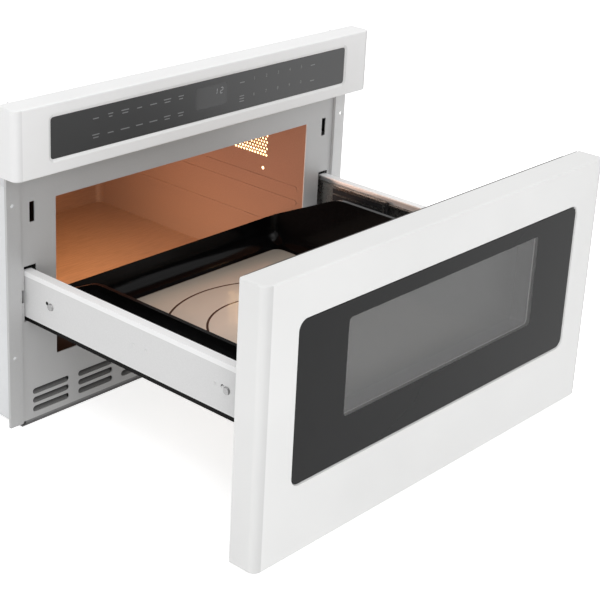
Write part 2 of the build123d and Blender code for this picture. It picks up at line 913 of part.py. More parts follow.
with BuildPart() as case_screws:
    for x, z in rear_screws:
        with BuildSketch(facing(case_depth + 2.4)):
            with Locations((x, z)):
                Circle(4.0)
        extrude(amount=2.4)
        with BuildSketch(facing(case_depth)):
            with Locations((x, z)):
                Circle(rear_screw_r)
        extrude(amount=case_t)
finish(case_screws, "case_screws")

# ---------------------------------------------------------------- telescopic slides, cabinet side

slide_web_in = rail_outer - rail_t - slide_depth
bracket_t = 1.2
bracket_margin = 3.0
bracket_flange = 14.0
slide_z0 = rail_mid - slide_h / 2
slide_z1 = rail_mid + slide_h / 2
slide_front = slide_front_inset
slide_back = slide_front + slide_outer_len


def channel(side, web, reach, z0, z1, y0, y1, thickness):
    """Adds a C-shaped strip along Y: its web starts at |x| = web, its flanges run to |x| = reach."""
    inward = -1 if reach < web else 1
    web_far = web + inward * thickness
    block((side * web, side * web_far), (y0, y1), (z0, z1))
    for band in ((z0, z0 + thickness), (z1 - thickness, z1)):
        block((side * web_far, side * reach), (y0, y1), band)


with BuildPart() as slide_brackets:
    wall = cavity_half + liner_t
    for side in (-1, 1):
        z0 = slide_z0 - bracket_margin
        z1 = slide_z1 + bracket_margin
        web = slide_web_in - bracket_t
        ys = (slide_front, slide_back)
        block((side * web, side * slide_web_in), ys, (z0, z1))
        for band in ((z0, z0 + bracket_t), (z1 - bracket_t, z1)):
            block((side * wall, side * web), ys, band)
        for band in ((z0 - bracket_flange, z0), (z1, z1 + bracket_flange)):
            block((side * wall, side * (wall + bracket_t)), ys, band)
finish(slide_brackets, "slide_brackets")

# each member nests in the one before it, with the bearing balls' gap between their flanges
step_z = slide_t + slide_ball_gap
middle_z0 = slide_z0 + step_z
middle_z1 = slide_z1 - step_z
inner_z0 = middle_z0 + step_z
inner_z1 = middle_z1 - step_z
middle_web = slide_web_in + slide_t + slide_side_gap
inner_web = slide_web_in + slide_depth
outer_reach = inner_web - slide_t - slide_side_gap
inner_reach = middle_web + slide_t + slide_side_gap
middle_back = slide_middle_front + slide_middle_len
stop_len = 4.0


rail_screw_ys = (-46.0, -328.0)
rail_screw_z = 170.0
rail_screw_r = 2.0
rail_hole_r = rail_screw_r + 0.1
rail_head_r = 4.6
rail_head_h = 2.0


def slide_outer(side):
    """Cabinet member of a telescopic slide."""
    with BuildPart() as member:
        channel(side, slide_web_in, outer_reach, slide_z0, slide_z1, slide_front, slide_back, slide_t)
    return member


def slide_middle(side):
    """Middle member of a telescopic slide, with the stop at its front end."""
    with BuildPart() as member:
        ends = (slide_middle_front, middle_back)
        channel(side, middle_web, outer_reach, middle_z0, middle_z1, *ends, slide_t)
        stop_y = (slide_middle_front, slide_middle_front + stop_len)
        stop_z = (middle_z0 + slide_t, inner_z0 - slide_ball_gap + 1.0)
        block((side * (middle_web + slide_t), side * outer_reach), stop_y, stop_z)
    return member


def slide_inner(side):
    """Drawer member of a telescopic slide, drilled for the screws that hold it to the rail."""
    with BuildPart() as member:
        ends = (slide_front - travel, slide_back - travel)
        channel(side, inner_web, inner_reach, inner_z0, inner_z1, *ends, slide_t)
        with BuildSketch(Plane.YZ.offset(side * inner_web)):
            with Locations(*[(y, rail_screw_z) for y in rail_screw_ys]):
                Circle(rail_hole_r)
        extrude(amount=-side * slide_t, mode=Mode.SUBTRACT)
    return member


finish(slide_outer(-1), "slide_outer_left")
finish(slide_outer(1), "slide_outer_right")
finish(slide_middle(-1), "slide_middle_left")
finish(slide_middle(1), "slide_middle_right")
finish(slide_inner(-1), "slide_inner_left")
finish(slide_inner(1), "slide_inner_right")

# ---------------------------------------------------------------- drawer rails

rail_front = frame_back_y
rail_bead = 0.5
rail_bead_h = 6.5


def rail(side):
    """Painted channel that carries the drawer: outer web, two flanges and a closed front end."""
    with BuildPart() as strip:
        channel(side, rail_outer, rail_inner, rail_z0, rail_top, rail_front, rail_tail, rail_t)
        inside = rail_outer - rail_t
        block((side * rail_inner, side * inside), (rail_front, rail_front + rail_t), (rail_z0, rail_top))
        bead_x = (side * rail_outer, side * (rail_outer + rail_bead))
        block(bead_x, (rail_front, rail_tail), (rail_top - rail_bead_h, rail_top))
        with BuildSketch(Plane.YZ.offset(side * rail_outer)):
            with Locations(*[(y, rail_screw_z) for y in rail_screw_ys]):
                Circle(rail_hole_r)
        extrude(amount=-side * rail_t, mode=Mode.SUBTRACT)
    return strip


finish(rail(-1), "rail_left")
finish(rail(1), "rail_right")

with BuildPart() as rail_screws:
    for side in (-1, 1):
        for y in rail_screw_ys:
            with BuildSketch(Plane.YZ.offset(side * inner_web - side * slide_t)):
                with Locations((y, rail_screw_z)):
                    Circle(rail_screw_r)
            extrude(amount=side * (slide_t + rail_t))
            with BuildSketch(Plane.YZ.offset(side * rail_outer)):
                with Locations((y, rail_screw_z)):
                    Circle(rail_head_r)
            extrude(amount=side * rail_head_h, taper=20)
finish(rail_screws, "rail_screws")

# ---------------------------------------------------------------- drive: rack, pinion, geared motor

rack_back = pinion_y + rack_tail
tip_z = rack_pitch_z - tooth_addendum
root_z = rack_pitch_z + tooth_dedendum
half_tooth = (pitch / 2 - tooth_backlash) / 2
flank = math.tan(math.radians(pressure_angle))

with BuildPart() as drive_rack:
    first_tooth = math.ceil((rack_front - pinion_y) / pitch + 0.5)
    last_tooth = math.floor((rack_back - pinion_y) / pitch - 0.5)
    outline = [(rack_front, root_z)]
    for k in range(first_tooth, last_tooth + 1):
        y = pinion_y + k * pitch
        at_root = half_tooth + tooth_dedendum * flank
        at_tip = half_tooth - tooth_addendum * flank
        outline.append((y - at_root, root_z))
        outline.append((y - at_tip, tip_z))
        outline.append((y + at_tip, tip_z))
        outline.append((y + at_root, root_z))
    outline.append((rack_back, root_z))
    outline.append((rack_back, rail_z0))
    outline.append((rack_front, rail_z0))
    with BuildSketch(Plane.YZ.offset(pinion_x - rack_w / 2)):
        with BuildLine():
            Polyline(*outline, close=True)
        make_face()
    extrude(amount=rack_w)
    # smooth guard outside the teeth, clear of the pinion
    guard_x = (-rail_outer + fit, pinion_x - rack_w / 2)
    block(guard_x, (rack_front, guard_back), (tip_z - fit, rail_z0))
finish(drive_rack, "drive_rack")

gearbox_x = (-cavity_half - liner_t, pinion_x + pinion_w / 2 + 4.5)
gearbox_z1 = slide_z0 - bracket_margin - bracket_flange - fit
gearbox_z0 = pinion_z - 22.0
gearbox_y = (plate_t + 2.0, pinion_y + 24.0)
drive_can_r = 13.0
drive_can_len = 46.0
shaft_depth = 16.0


def tooth_half_angle(radius):
    """Half the angle a pinion tooth spans at a radius on its involute flank."""
    base = pinion_r * math.cos(math.radians(pressure_angle))
    roll = math.acos(min(1.0, base / radius))
    at_pitch = math.radians(pressure_angle)
    involute = math.tan(at_pitch) - at_pitch - (math.tan(roll) - roll)
    return half_tooth / pinion_r + involute


with BuildPart() as drive_pinion:
    base_r = pinion_r * math.cos(math.radians(pressure_angle))
    root_r = pinion_r - tooth_dedendum
    tip_r = pinion_r + tooth_addendum
    radii = [base_r + (tip_r - base_r) * k / 4 for k in range(5)]
    side_points = [(root_r, tooth_half_angle(base_r))] + [(r, tooth_half_angle(r)) for r in radii]
    outline = []
    for k in range(pinion_teeth):
        middle = math.pi / 2 + math.pi * (2 * k + 1) / pinion_teeth
        rising = [(r, middle - a) for r, a in side_points]
        falling = [(r, middle + a) for r, a in reversed(side_points)]
        for r, angle in rising + falling:
            outline.append((pinion_y + r * math.cos(angle), pinion_z + r * math.sin(angle)))
    with BuildSketch(Plane.YZ.offset(pinion_x - pinion_w / 2)):
        with BuildLine():
            Polyline(*outline, close=True)
        make_face()
    extrude(amount=pinion_w)
    with BuildSketch(Plane.YZ.offset(pinion_x - pinion_w / 2)):
        with Locations((pinion_y, pinion_z)):
            Circle(pinion_shaft_r)
    extrude(amount=gearbox_x[1] - pinion_x + pinion_w / 2 + shaft_depth)
finish(drive_pinion, "drive_pinion")

with BuildPart() as drive_motor:
    block(gearbox_x, gearbox_y, (gearbox_z0, gearbox_z1))
    fillet(drive_motor.edges().filter_by(Axis.X), 3.0)
    with BuildSketch(facing(gearbox_y[1] + drive_can_len)):
        with Locations((sum(gearbox_x) / 2, (gearbox_z0 + gearbox_z1) / 2)):
            Circle(drive_can_r)
    extrude(amount=drive_can_len)
    fillet(drive_motor.edges().group_by(Axis.Y)[-1], 2.0)
    with BuildSketch(Plane.YZ.offset(gearbox_x[1])):
        with Locations((pinion_y, pinion_z)):
            Circle(pinion_shaft_r + shaft_clear)
    extrude(amount=shaft_depth + fit, mode=Mode.SUBTRACT)
finish(drive_motor, "drive_motor")

# ---------------------------------------------------------------- basin

basin_front = choke_back_y
basin_outer = basin_half + basin_t
basin_rear = basin_back + basin_t
rim_half = basin_outer + basin_rim
top_line = ((basin_front, basin_top), (basin_slope_y, basin_top), (basin_rear, basin_back_top))
tray_front = basin_front + tray_front_gap
tray_z0 = basin_floor + basin_t
tray_mid = (tray_front + tray_back) / 2
tray_len = tray_back - tray_front



def basin_body(half, bottom, rear, bend, corner):
    """A solid trough along Y with a bent-up rear end and rounded lower and rear corners."""
    with BuildPart() as body:
        with BuildSketch(Plane.YZ.offset(-half)):
            with BuildLine():
                FilletPolyline((basin_front, bottom), (rear, bottom), (rear, basin_top), radius=bend)
                Polyline((rear, basin_top), (basin_front, basin_top), (basin_front, bottom))
            make_face()
        extrude(amount=2 * half)
        for level in (0, -1):
            side_face = body.faces().filter_by(Axis.X).sort_by(Axis.X)[level]
            middles = [(e, e.center()) for e in side_face.edges()]
            fillet([e for e, at in middles if at.Z < basin_top - 1 and at.Y > basin_front + 1], corner)
    return body.part


outer_bend_r = basin_bend_r + basin_t
outer_corner_r = basin_corner_r + basin_t
basin_outside = basin_body(basin_outer, basin_floor, basin_rear, outer_bend_r, outer_corner_r)
basin_inside = basin_body(basin_half, tray_z0, basin_back, basin_bend_r, basin_corner_r)

with BuildPart() as basin:
    add(basin_outside)
    add(basin_inside, mode=Mode.SUBTRACT)
    # the rim drops towards the rear
    with BuildSketch(Plane.YZ.offset(-rim_half)):
        with BuildLine():
            FilletPolyline(*top_line, radius=basin_slope_r)
            Polyline(
                top_line[-1],
                (basin_rear, 2 * basin_top),
                (basin_front, 2 * basin_top),
                top_line[0],
            )
        make_face()
    extrude(amount=2 * rim_half, mode=Mode.SUBTRACT)
    # flange along both side walls
    for start, amount in ((-rim_half, basin_rim), (basin_outer, basin_rim)):
        with BuildSketch(Plane.YZ.offset(start)):
            with BuildLine():
                lower = [(y, z - basin_t) for y, z in top_line]
                FilletPolyline(*top_line, radius=basin_slope_r)
                FilletPolyline(*lower, radius=basin_slope_r)
                Line(top_line[0], lower[0])
                Line(top_line[-1], lower[-1])
            make_face()
        extrude(amount=amount)
    # lip across the front, and ears against the door
    lip_z = (basin_floor, basin_floor + front_lip_h)
    block((-basin_half, basin_half), (basin_front, basin_front + basin_t), lip_z)
    for band in both(basin_outer, rim_half):
        block(band, (basin_front, basin_front + basin_t), (basin_floor + basin_bend_r, basin_top))
    # opening under the tray, which rests on the ledge round it
    with BuildSketch(Plane.XY.offset(basin_floor)):
        with Locations((0, tray_mid)):
            RectangleRounded(2 * (tray_half - tray_ledge), tray_len - 2 * tray_ledge, tray_corner_r)
    extrude(amount=basin_t, mode=Mode.SUBTRACT)
finish(basin, "basin")

with BuildPart() as ceramic_tray:
    with BuildSketch(Plane.XY.offset(tray_z0)):
        with Locations((0, tray_mid)):
            RectangleRounded(2 * tray_half, tray_len, tray_corner_r)
    extrude(amount=tray_t)
    fillet(ceramic_tray.edges().group_by(Axis.Z)[-1], 1.0)
finish(ceramic_tray, "ceramic_tray")

with BuildPart() as tray_seal:
    with BuildSketch(Plane.XY.offset(tray_z0)):
        with Locations((0, tray_mid)):
            RectangleRounded(2 * (tray_half + seal_w), tray_len + 2 * seal_w, tray_corner_r + seal_w)
            RectangleRounded(
                2 * (tray_half + fit),
                tray_len + 2 * fit,
                tray_corner_r + fit,
                mode=Mode.SUBTRACT,
            )
    extrude(amount=tray_t - 1.5)
finish(tray_seal, "tray_seal")

# ---------------------------------------------------------------- door

glass_front = door_front_y + glass_inset
glass_back = glass_front + glass_t
pan_back = glass_back + skin_t
glass_mid = glass_z0 + glass_h / 2
window_mid = window_z0 + window_h / 2
screen_y = pan_back + screen_setback - glass_t
screen_back = screen_y + screen_t
well_wall = 6.0
pan_margin = 3.0
frame_top = door_top - frame_top_drop - skin_t
frame_mid = (frame_z0 + frame_top) / 2


def front_solid(w, z0, z1, front, back, round_over):
    """A solid slab whose vertical front edges have the big radius and the rest of its front a small one."""
    half = w / 2
    r = corner_r - (front_w - w) / 2
    with BuildPart() as slab:
        with BuildSketch(Plane.XY.offset(z0)):
            with BuildLine():
                FilletPolyline((-half, back), (-half, front), (half, front), (half, back), radius=r)
                Line((half, back), (-half, back))
            make_face()
        extrude(amount=z1 - z0)
        if round_over > 0:
            ends = slab.faces().filter_by(Axis.Z)
            fillet([e for face in ends for e in face.edges() if e.center().Y < back - 1], round_over)
    return slab.part


door_outside = front_solid(front_w, door_lift, door_top, door_front_y, door_back_y, edge_r)
door_inside = front_solid(
    front_w - 2 * skin_t, door_lift + skin_t, door_top - skin_t, door_front_y + skin_t, door_back_y, 0
)

with BuildPart() as door_skin:
    add(door_outside)
    add(door_inside, mode=Mode.SUBTRACT)
    # recessed pan that holds the glass, with the window through it
    with BuildSketch(facing(pan_back)):
        with Locations((0, glass_mid)):
            RectangleRounded(glass_w + 2 * pan_margin, glass_h + 2 * pan_margin, glass_r + pan_margin)
    extrude(amount=pan_back - door_front_y - skin_t / 2)
    with BuildSketch(facing(glass_back)):
        with Locations((0, glass_mid)):
            RectangleRounded(glass_w + 2 * glass_clear, glass_h + 2 * glass_clear, glass_r + glass_clear)
    extrude(amount=glass_back - door_front_y, mode=Mode.SUBTRACT)
    # bevel round the glass
    face_edges = door_skin.edges().filter_by_position(Axis.Y, door_front_y - 0.01, door_front_y + 0.01)
    centres = [(e, e.center()) for e in face_edges]
    half_w, half_h = glass_w / 2 + 1, glass_h / 2 + 1
    rim = [e for e, at in centres if abs(at.X) < half_w and abs(at.Z - glass_mid) < half_h]
    chamfer(rim, length=glass_inset, length2=glass_bevel)
    with BuildSketch(facing(pan_back)):
        with Locations((0, window_mid)):
            RectangleRounded(window_w, window_h, window_r)
    extrude(amount=skin_t, mode=Mode.SUBTRACT)
finish(door_skin, "door_skin")

with BuildPart() as door_glass:
    with BuildSketch(facing(glass_back)):
        with Locations((0, glass_mid)):
            RectangleRounded(glass_w, glass_h, glass_r)
    extrude(amount=glass_t)
    fillet(door_glass.edges().group_by(Axis.Y)[0], 0.5)
finish(door_glass, "door_glass")

with BuildPart() as window_frame:
    with BuildSketch(facing(screen_y)):
        with Locations((0, window_mid)):
            RectangleRounded(window_w + 2 * tunnel_t, window_h + 2 * tunnel_t, window_r + tunnel_t)
            RectangleRounded(window_w, window_h, window_r, mode=Mode.SUBTRACT)
    extrude(amount=screen_y - pan_back)
    with BuildSketch(facing(screen_y)):
        with Locations((0, window_mid)):
            RectangleRounded(window_w + 2 * well_wall, window_h + 2 * well_wall, window_r + well_wall)
            RectangleRounded(window_w, window_h, window_r, mode=Mode.SUBTRACT)
    extrude(amount=tunnel_t)
finish(window_frame, "window_frame")

with BuildPart() as perforated_screen:
    with BuildSketch(facing(screen_back)):
        with Locations((0, window_mid)):
            RectangleRounded(window_w + 2 * well_wall, window_h + 2 * well_wall, window_r + well_wall)
            cols = int((window_w - 2 * screen_pitch) / screen_pitch)
            rows = int((window_h - screen_pitch) / screen_pitch)
            with GridLocations(screen_pitch, screen_pitch, cols, rows):
                Circle(screen_hole_r, mode=Mode.SUBTRACT)
    extrude(amount=screen_t)
finish(perforated_screen, "perforated_screen")

with BuildPart() as inner_window:
    with BuildSketch(facing(screen_back + inner_window_t)):
        with Locations((0, window_mid)):
            RectangleRounded(window_w + well_wall, window_h + well_wall, window_r + well_wall / 2)
    extrude(amount=inner_window_t)
finish(inner_window, "inner_window")

with BuildPart() as door_frame:
    with BuildSketch(facing(frame_back_y)):
        with Locations((0, frame_mid)):
            RectangleRounded(2 * frame_half, frame_top - frame_z0, window_r)
        with Locations((0, window_mid)):
            RectangleRounded(window_w, window_h, window_r, mode=Mode.SUBTRACT)
    extrude(amount=frame_t)
    # walls that reach forward and hold the screen and the inner window
    with BuildSketch(facing(door_back_y)):
        with Locations((0, window_mid)):
            RectangleRounded(window_w + 2 * well_wall, window_h + 2 * well_wall, window_r + well_wall)
            RectangleRounded(
                window_w + well_wall + 2 * fit,
                window_h + well_wall + 2 * fit,
                window_r + well_wall / 2 + fit,
                mode=Mode.SUBTRACT,
            )
    extrude(amount=door_back_y - screen_back)
    # folded edges that reach into the skin
    fold = frame_fold
    for band in both(frame_half - frame_t, frame_half):
        block(band, (door_back_y - fold, door_back_y), (frame_z0, frame_top))
    block((-frame_half, frame_half), (door_back_y - fold, door_back_y), (frame_top - frame_t, frame_top))
    # feet that join the frame to the skin's side walls
    for band in both(frame_half, front_w / 2 - skin_t):
        for z in frame_foot_zs:
            block(band, (door_back_y - fold, door_back_y - fold + frame_t), (z, z + frame_foot_h))
finish(door_frame, "door_frame")

with BuildPart() as choke_cover:
    with BuildSketch(facing(choke_back_y)):
        with Locations((0, (choke_z0 + choke_z1) / 2)):
            RectangleRounded(2 * choke_half, choke_z1 - choke_z0, 8.0)
        with Locations((0, window_mid)):
            RectangleRounded(window_w, window_h, window_r, mode=Mode.SUBTRACT)
    extrude(amount=choke_t)
    groove_half = choke_half - choke_groove_w
    groove_h = choke_z1 - choke_z0 - 2 * choke_groove_w
    with BuildSketch(facing(choke_back_y)):
        with Locations((0, (choke_z0 + choke_z1) / 2)):
            RectangleRounded(2 * groove_half, groove_h, 5.0)
            RectangleRounded(
                2 * (groove_half - choke_groove_w),
                groove_h - 2 * choke_groove_w,
                4.0,
                mode=Mode.SUBTRACT,
            )
    extrude(amount=choke_groove_d, mode=Mode.SUBTRACT)
finish(choke_cover, "choke_cover")

# ---------------------------------------------------------------- latch hooks and interlock switches

hook_tip = frame_back_y + hook_reach
hook_z0 = latch_z - hook_h / 2
hook_z1 = latch_z + hook_h / 2
hook_outline = (
    (frame_back_y, hook_z0),
    (hook_tip - 12.0, hook_z0),
    (hook_tip - 12.0, hook_z0 + 5.0),
    (hook_tip - 7.0, hook_z0 + 5.0),
    (hook_tip - 7.0, hook_z0),
    (hook_tip, hook_z0 + 5.0),
    (hook_tip, hook_z1 - 4.0),
    (hook_tip - 4.0, hook_z1),
    (frame_back_y, hook_z1),
)

with BuildPart() as latch_hooks:
    for x in (-latch_x, latch_x):
        with BuildSketch(Plane.YZ.offset(x - hook_w / 2)):
            with BuildLine():
                Polyline(*hook_outline, close=True)
            make_face()
        extrude(amount=hook_w)
finish(latch_hooks, "latch_hooks")

switch_front = frame_back_y + travel + hook_reach + 3.0
switch_leg_t = 1.2

with BuildPart() as interlock_switches:
    for side in (-1, 1):
        x_in = latch_x - switch_w / 2
        x_out = latch_x + switch_w / 2
        zs = (latch_z - switch_h / 2, latch_z + switch_h / 2)
        block((side * x_in, side * x_out), (switch_front, switch_front + switch_d), zs)
        with BuildSketch(facing(switch_front)):
            with Locations((side * latch_x, latch_z)):
                Circle(2.0)
        extrude(amount=1.6)
        # bracket back to the front plate
        leg_x = (side * x_out, side * (x_out + switch_leg_t))
        foot_x = (side * x_out, side * (x_out + 9.0))
        block(leg_x, (plate_t, switch_front + switch_d), zs)
        block(foot_x, (plate_t, plate_t + switch_leg_t), zs)
finish(interlock_switches, "interlock_switches")

# ---------------------------------------------------------------- control panel

panel_front = -panel_t
panel_glass_front = panel_front + panel_inset
panel_glass_back = panel_glass_front + panel_glass_t
panel_glass_mid = panel_glass_z0 + panel_glass_h / 2
foil_back = panel_glass_back + foil_t
board_front = panel_front + board_setback
board_back = board_front + board_t
notch_lo = plate_half - fit
notch_hi = flange_outer + fit

bezel_outside = front_solid(front_w, panel_z0, panel_top, panel_front, 0, edge_r)
bezel_inside = front_solid(
    front_w - 2 * bezel_t, panel_z0 + bezel_t, panel_top - bezel_t, panel_front + bezel_t, 0, 0
)

with BuildPart() as control_bezel:
    add(bezel_outside)
    add(bezel_inside, mode=Mode.SUBTRACT)
    # ledge behind the glass
    with BuildSketch(facing(panel_glass_back + panel_ledge_t)):
        with Locations((0, panel_glass_mid)):
            RectangleRounded(
                panel_glass_w + panel_ring,
                panel_glass_h + panel_ring,
                panel_glass_r + panel_ring / 2,
            )
    extrude(amount=panel_glass_back + panel_ledge_t - panel_front - bezel_t / 2)
    with BuildSketch(facing(panel_glass_back)):
        with Locations((0, panel_glass_mid)):
            RectangleRounded(panel_glass_w + 2 * fit, panel_glass_h + 2 * fit, panel_glass_r + fit)
    extrude(amount=panel_glass_back - panel_front, mode=Mode.SUBTRACT)
    with BuildSketch(facing(panel_glass_back + panel_ledge_t)):
        with Locations((0, panel_glass_mid)):
            RectangleRounded(panel_glass_w - 2 * panel_ledge, panel_glass_h - 2 * panel_ledge, panel_glass_r)
    extrude(amount=panel_ledge_t, mode=Mode.SUBTRACT)
    # bevel round the glass
    face_edges = control_bezel.edges().filter_by_position(Axis.Y, panel_front - 0.01, panel_front + 0.01)
    centres = [(e, e.center()) for e in face_edges]
    half_w, half_h = panel_glass_w / 2 + 1, panel_glass_h / 2 + 1
    rim = [e for e, at in centres if abs(at.X) < half_w and abs(at.Z - panel_glass_mid) < half_h]
    chamfer(rim, length=panel_inset, length2=panel_bevel)
    # bosses for the fixing screws
    with BuildSketch(facing(0)):
        with Locations(*panel_screws):
            Circle(panel_boss_r)
            Circle(panel_screw_r, mode=Mode.SUBTRACT)
    extrude(amount=panel_t - bezel_t / 2)
    # notches where the side flanges pass behind the panel
    for band in both(notch_lo, notch_hi):
        block(band, (-flange_rise - fit, 0), (panel_z0, panel_z0 + bezel_t), Mode.SUBTRACT)
finish(control_bezel, "control_bezel")

with BuildPart() as control_glass:
    with BuildSketch(facing(panel_glass_back)):
        with Locations((0, panel_glass_mid)):
            RectangleRounded(panel_glass_w, panel_glass_h, panel_glass_r)
    extrude(amount=panel_glass_t)
    fillet(control_glass.edges().group_by(Axis.Y)[0], 0.4)
finish(control_glass, "control_glass")

with BuildPart() as touch_foil:
    with BuildSketch(facing(foil_back)):
        with Locations((0, panel_glass_mid)):
            RectangleRounded(
                panel_glass_w - 2 * panel_ledge - 2 * fit,
                panel_glass_h - 2 * panel_ledge - 2 * fit,
                panel_glass_r,
            )
        with Locations((display_x, panel_glass_mid)):
            Rectangle(display_w, display_h, mode=Mode.SUBTRACT)
    extrude(amount=foil_t)
finish(touch_foil, "touch_foil")

with BuildPart() as display_module:
    display_half = display_w / 2 - fit
    display_zs = (panel_glass_mid - display_h / 2 + fit, panel_glass_mid + display_h / 2 - fit)
    block((display_x - display_half, display_x + display_half), (panel_glass_back, board_front), display_zs)
finish(display_module, "display_module")

with BuildPart() as control_board:
    board_zs = (panel_glass_mid - board_h / 2, panel_glass_mid + board_h / 2)
    block((-board_w / 2, board_w / 2), (board_front, board_back), board_zs)
    with BuildSketch(facing(0)):
        with Locations((0, panel_glass_mid)):
            with GridLocations(board_w / 2 - 10.0, board_h - 12.0, 3, 2):
                Circle(3.0)
    extrude(amount=-board_back)
    block((-60.0, -20.0), (board_back, board_back + 8.0), (panel_glass_mid - 8.0, panel_glass_mid + 8.0))
    block((30.0, 58.0), (board_back, board_back + 12.0), (panel_glass_mid - 10.0, panel_glass_mid + 6.0))
finish(control_board, "control_board")

with BuildPart() as panel_screw_set:
    with BuildSketch(facing(plate_t + 2.0)):
        with Locations(*panel_screws):
            Circle(3.4)
    extrude(amount=2.0)
    with BuildSketch(facing(plate_t)):
        with Locations(*panel_screws):
            Circle(panel_screw_r)
    extrude(amount=plate_t + 10.0)
finish(panel_screw_set, "panel_screws")

# ---------------------------------------------------------------- cavity lamp

lamp_wall = cavity_half + liner_t
lamp_ys = (lamp_y - lamp_box_w / 2, lamp_y + lamp_box_w / 2)
lamp_zs = (lamp_z - lamp_box_h / 2, lamp_z + lamp_box_h / 2)
lamp_t = 1.0
lamp_axis_x = lamp_wall + lamp_box_d / 2

with BuildPart() as lamp_housing:
    block((lamp_wall, lamp_wall + lamp_box_d), lamp_ys, lamp_zs)
    block(
        (lamp_wall, lamp_wall + lamp_box_d - lamp_t),
        (lamp_ys[0] + lamp_t, lamp_ys[1] - lamp_t),
        (lamp_zs[0] + lamp_t, lamp_zs[1] - lamp_t),
        Mode.SUBTRACT,
    )
    # collar that grips the bulb's base
    with BuildSketch(facing(lamp_ys[1])):
        with Locations((lamp_axis_x, lamp_z)):
            Circle(lamp_base_r + 3.0)
    extrude(amount=18.0)
    with BuildSketch(facing(lamp_ys[1] - lamp_t)):
        with Locations((lamp_axis_x, lamp_z)):
            Circle(lamp_base_r)
    extrude(amount=17.0, mode=Mode.SUBTRACT)
finish(lamp_housing, "lamp_housing")

with BuildPart() as lamp_bulb:
    with BuildSketch(facing(lamp_ys[1] - lamp_t)):
        with Locations((lamp_axis_x, lamp_z)):
            Circle(lamp_base_r - fit)
    extrude(amount=20.0)
    with BuildSketch(facing(lamp_ys[1] - lamp_t - 20.0)):
        with Locations((lamp_axis_x, lamp_z)):
            Circle(lamp_bulb_r)
    extrude(amount=lamp_bulb_len)
    fillet(lamp_bulb.edges().group_by(Axis.Y)[0], lamp_bulb_r - 1.0)
finish(lamp_bulb, "lamp_bulb")
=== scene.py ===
"""Looks for the microwave drawer: materials, printed legends, fine pieces, lights and camera.

The solids come from the frame and are only dressed here. Print, thin trim and pieces of painted
light and shade are added to them.
Lengths are in metres, and a length written in millimetres is multiplied by MM.
"""

import math

import bmesh
import bpy
from mathutils import Matrix, Vector


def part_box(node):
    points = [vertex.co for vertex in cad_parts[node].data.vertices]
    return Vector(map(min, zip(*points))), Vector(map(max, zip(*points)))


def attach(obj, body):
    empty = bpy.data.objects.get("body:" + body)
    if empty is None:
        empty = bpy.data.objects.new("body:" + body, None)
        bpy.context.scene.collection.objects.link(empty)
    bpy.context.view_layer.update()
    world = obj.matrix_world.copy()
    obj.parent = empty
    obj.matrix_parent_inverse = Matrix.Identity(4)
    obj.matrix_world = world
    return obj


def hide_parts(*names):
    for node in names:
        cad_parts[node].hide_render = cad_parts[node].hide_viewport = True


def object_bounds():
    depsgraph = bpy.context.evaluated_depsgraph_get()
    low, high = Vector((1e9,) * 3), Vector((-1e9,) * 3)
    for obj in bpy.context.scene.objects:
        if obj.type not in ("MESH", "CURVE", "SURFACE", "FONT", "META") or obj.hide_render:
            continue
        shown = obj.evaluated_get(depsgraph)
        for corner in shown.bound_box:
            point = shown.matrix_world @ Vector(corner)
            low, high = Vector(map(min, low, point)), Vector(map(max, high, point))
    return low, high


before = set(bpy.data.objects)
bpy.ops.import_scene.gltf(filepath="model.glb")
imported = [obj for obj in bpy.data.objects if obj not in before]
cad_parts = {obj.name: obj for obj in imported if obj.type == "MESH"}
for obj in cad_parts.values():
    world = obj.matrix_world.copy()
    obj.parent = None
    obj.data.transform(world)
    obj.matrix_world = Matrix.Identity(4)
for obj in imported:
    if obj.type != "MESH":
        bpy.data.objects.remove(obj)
cad_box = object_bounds()

MM = 0.001
SIDES = (-1, 1)  # left and right of the middle plane
WHITE = (1.0, 1.0, 1.0)
UNSTRETCHED = (1.0, 1.0, 1.0)
NOISE_RANGE = (0.3, 0.7)  # nearly all values of the noise node lie in it
NOISE_ROUGHNESS = 0.55
BROAD_SCALE = 6.0  # of the noise that makes broad patches
FINE_RELIEF = 0.02 * MM
GLASS_RELIEF = 0.5 * MM


def grey(level):
    return (level, level, level)


def scaled(colour, factor):
    return tuple(part * factor for part in colour)


# ------------------------------------------------------------------ node helpers


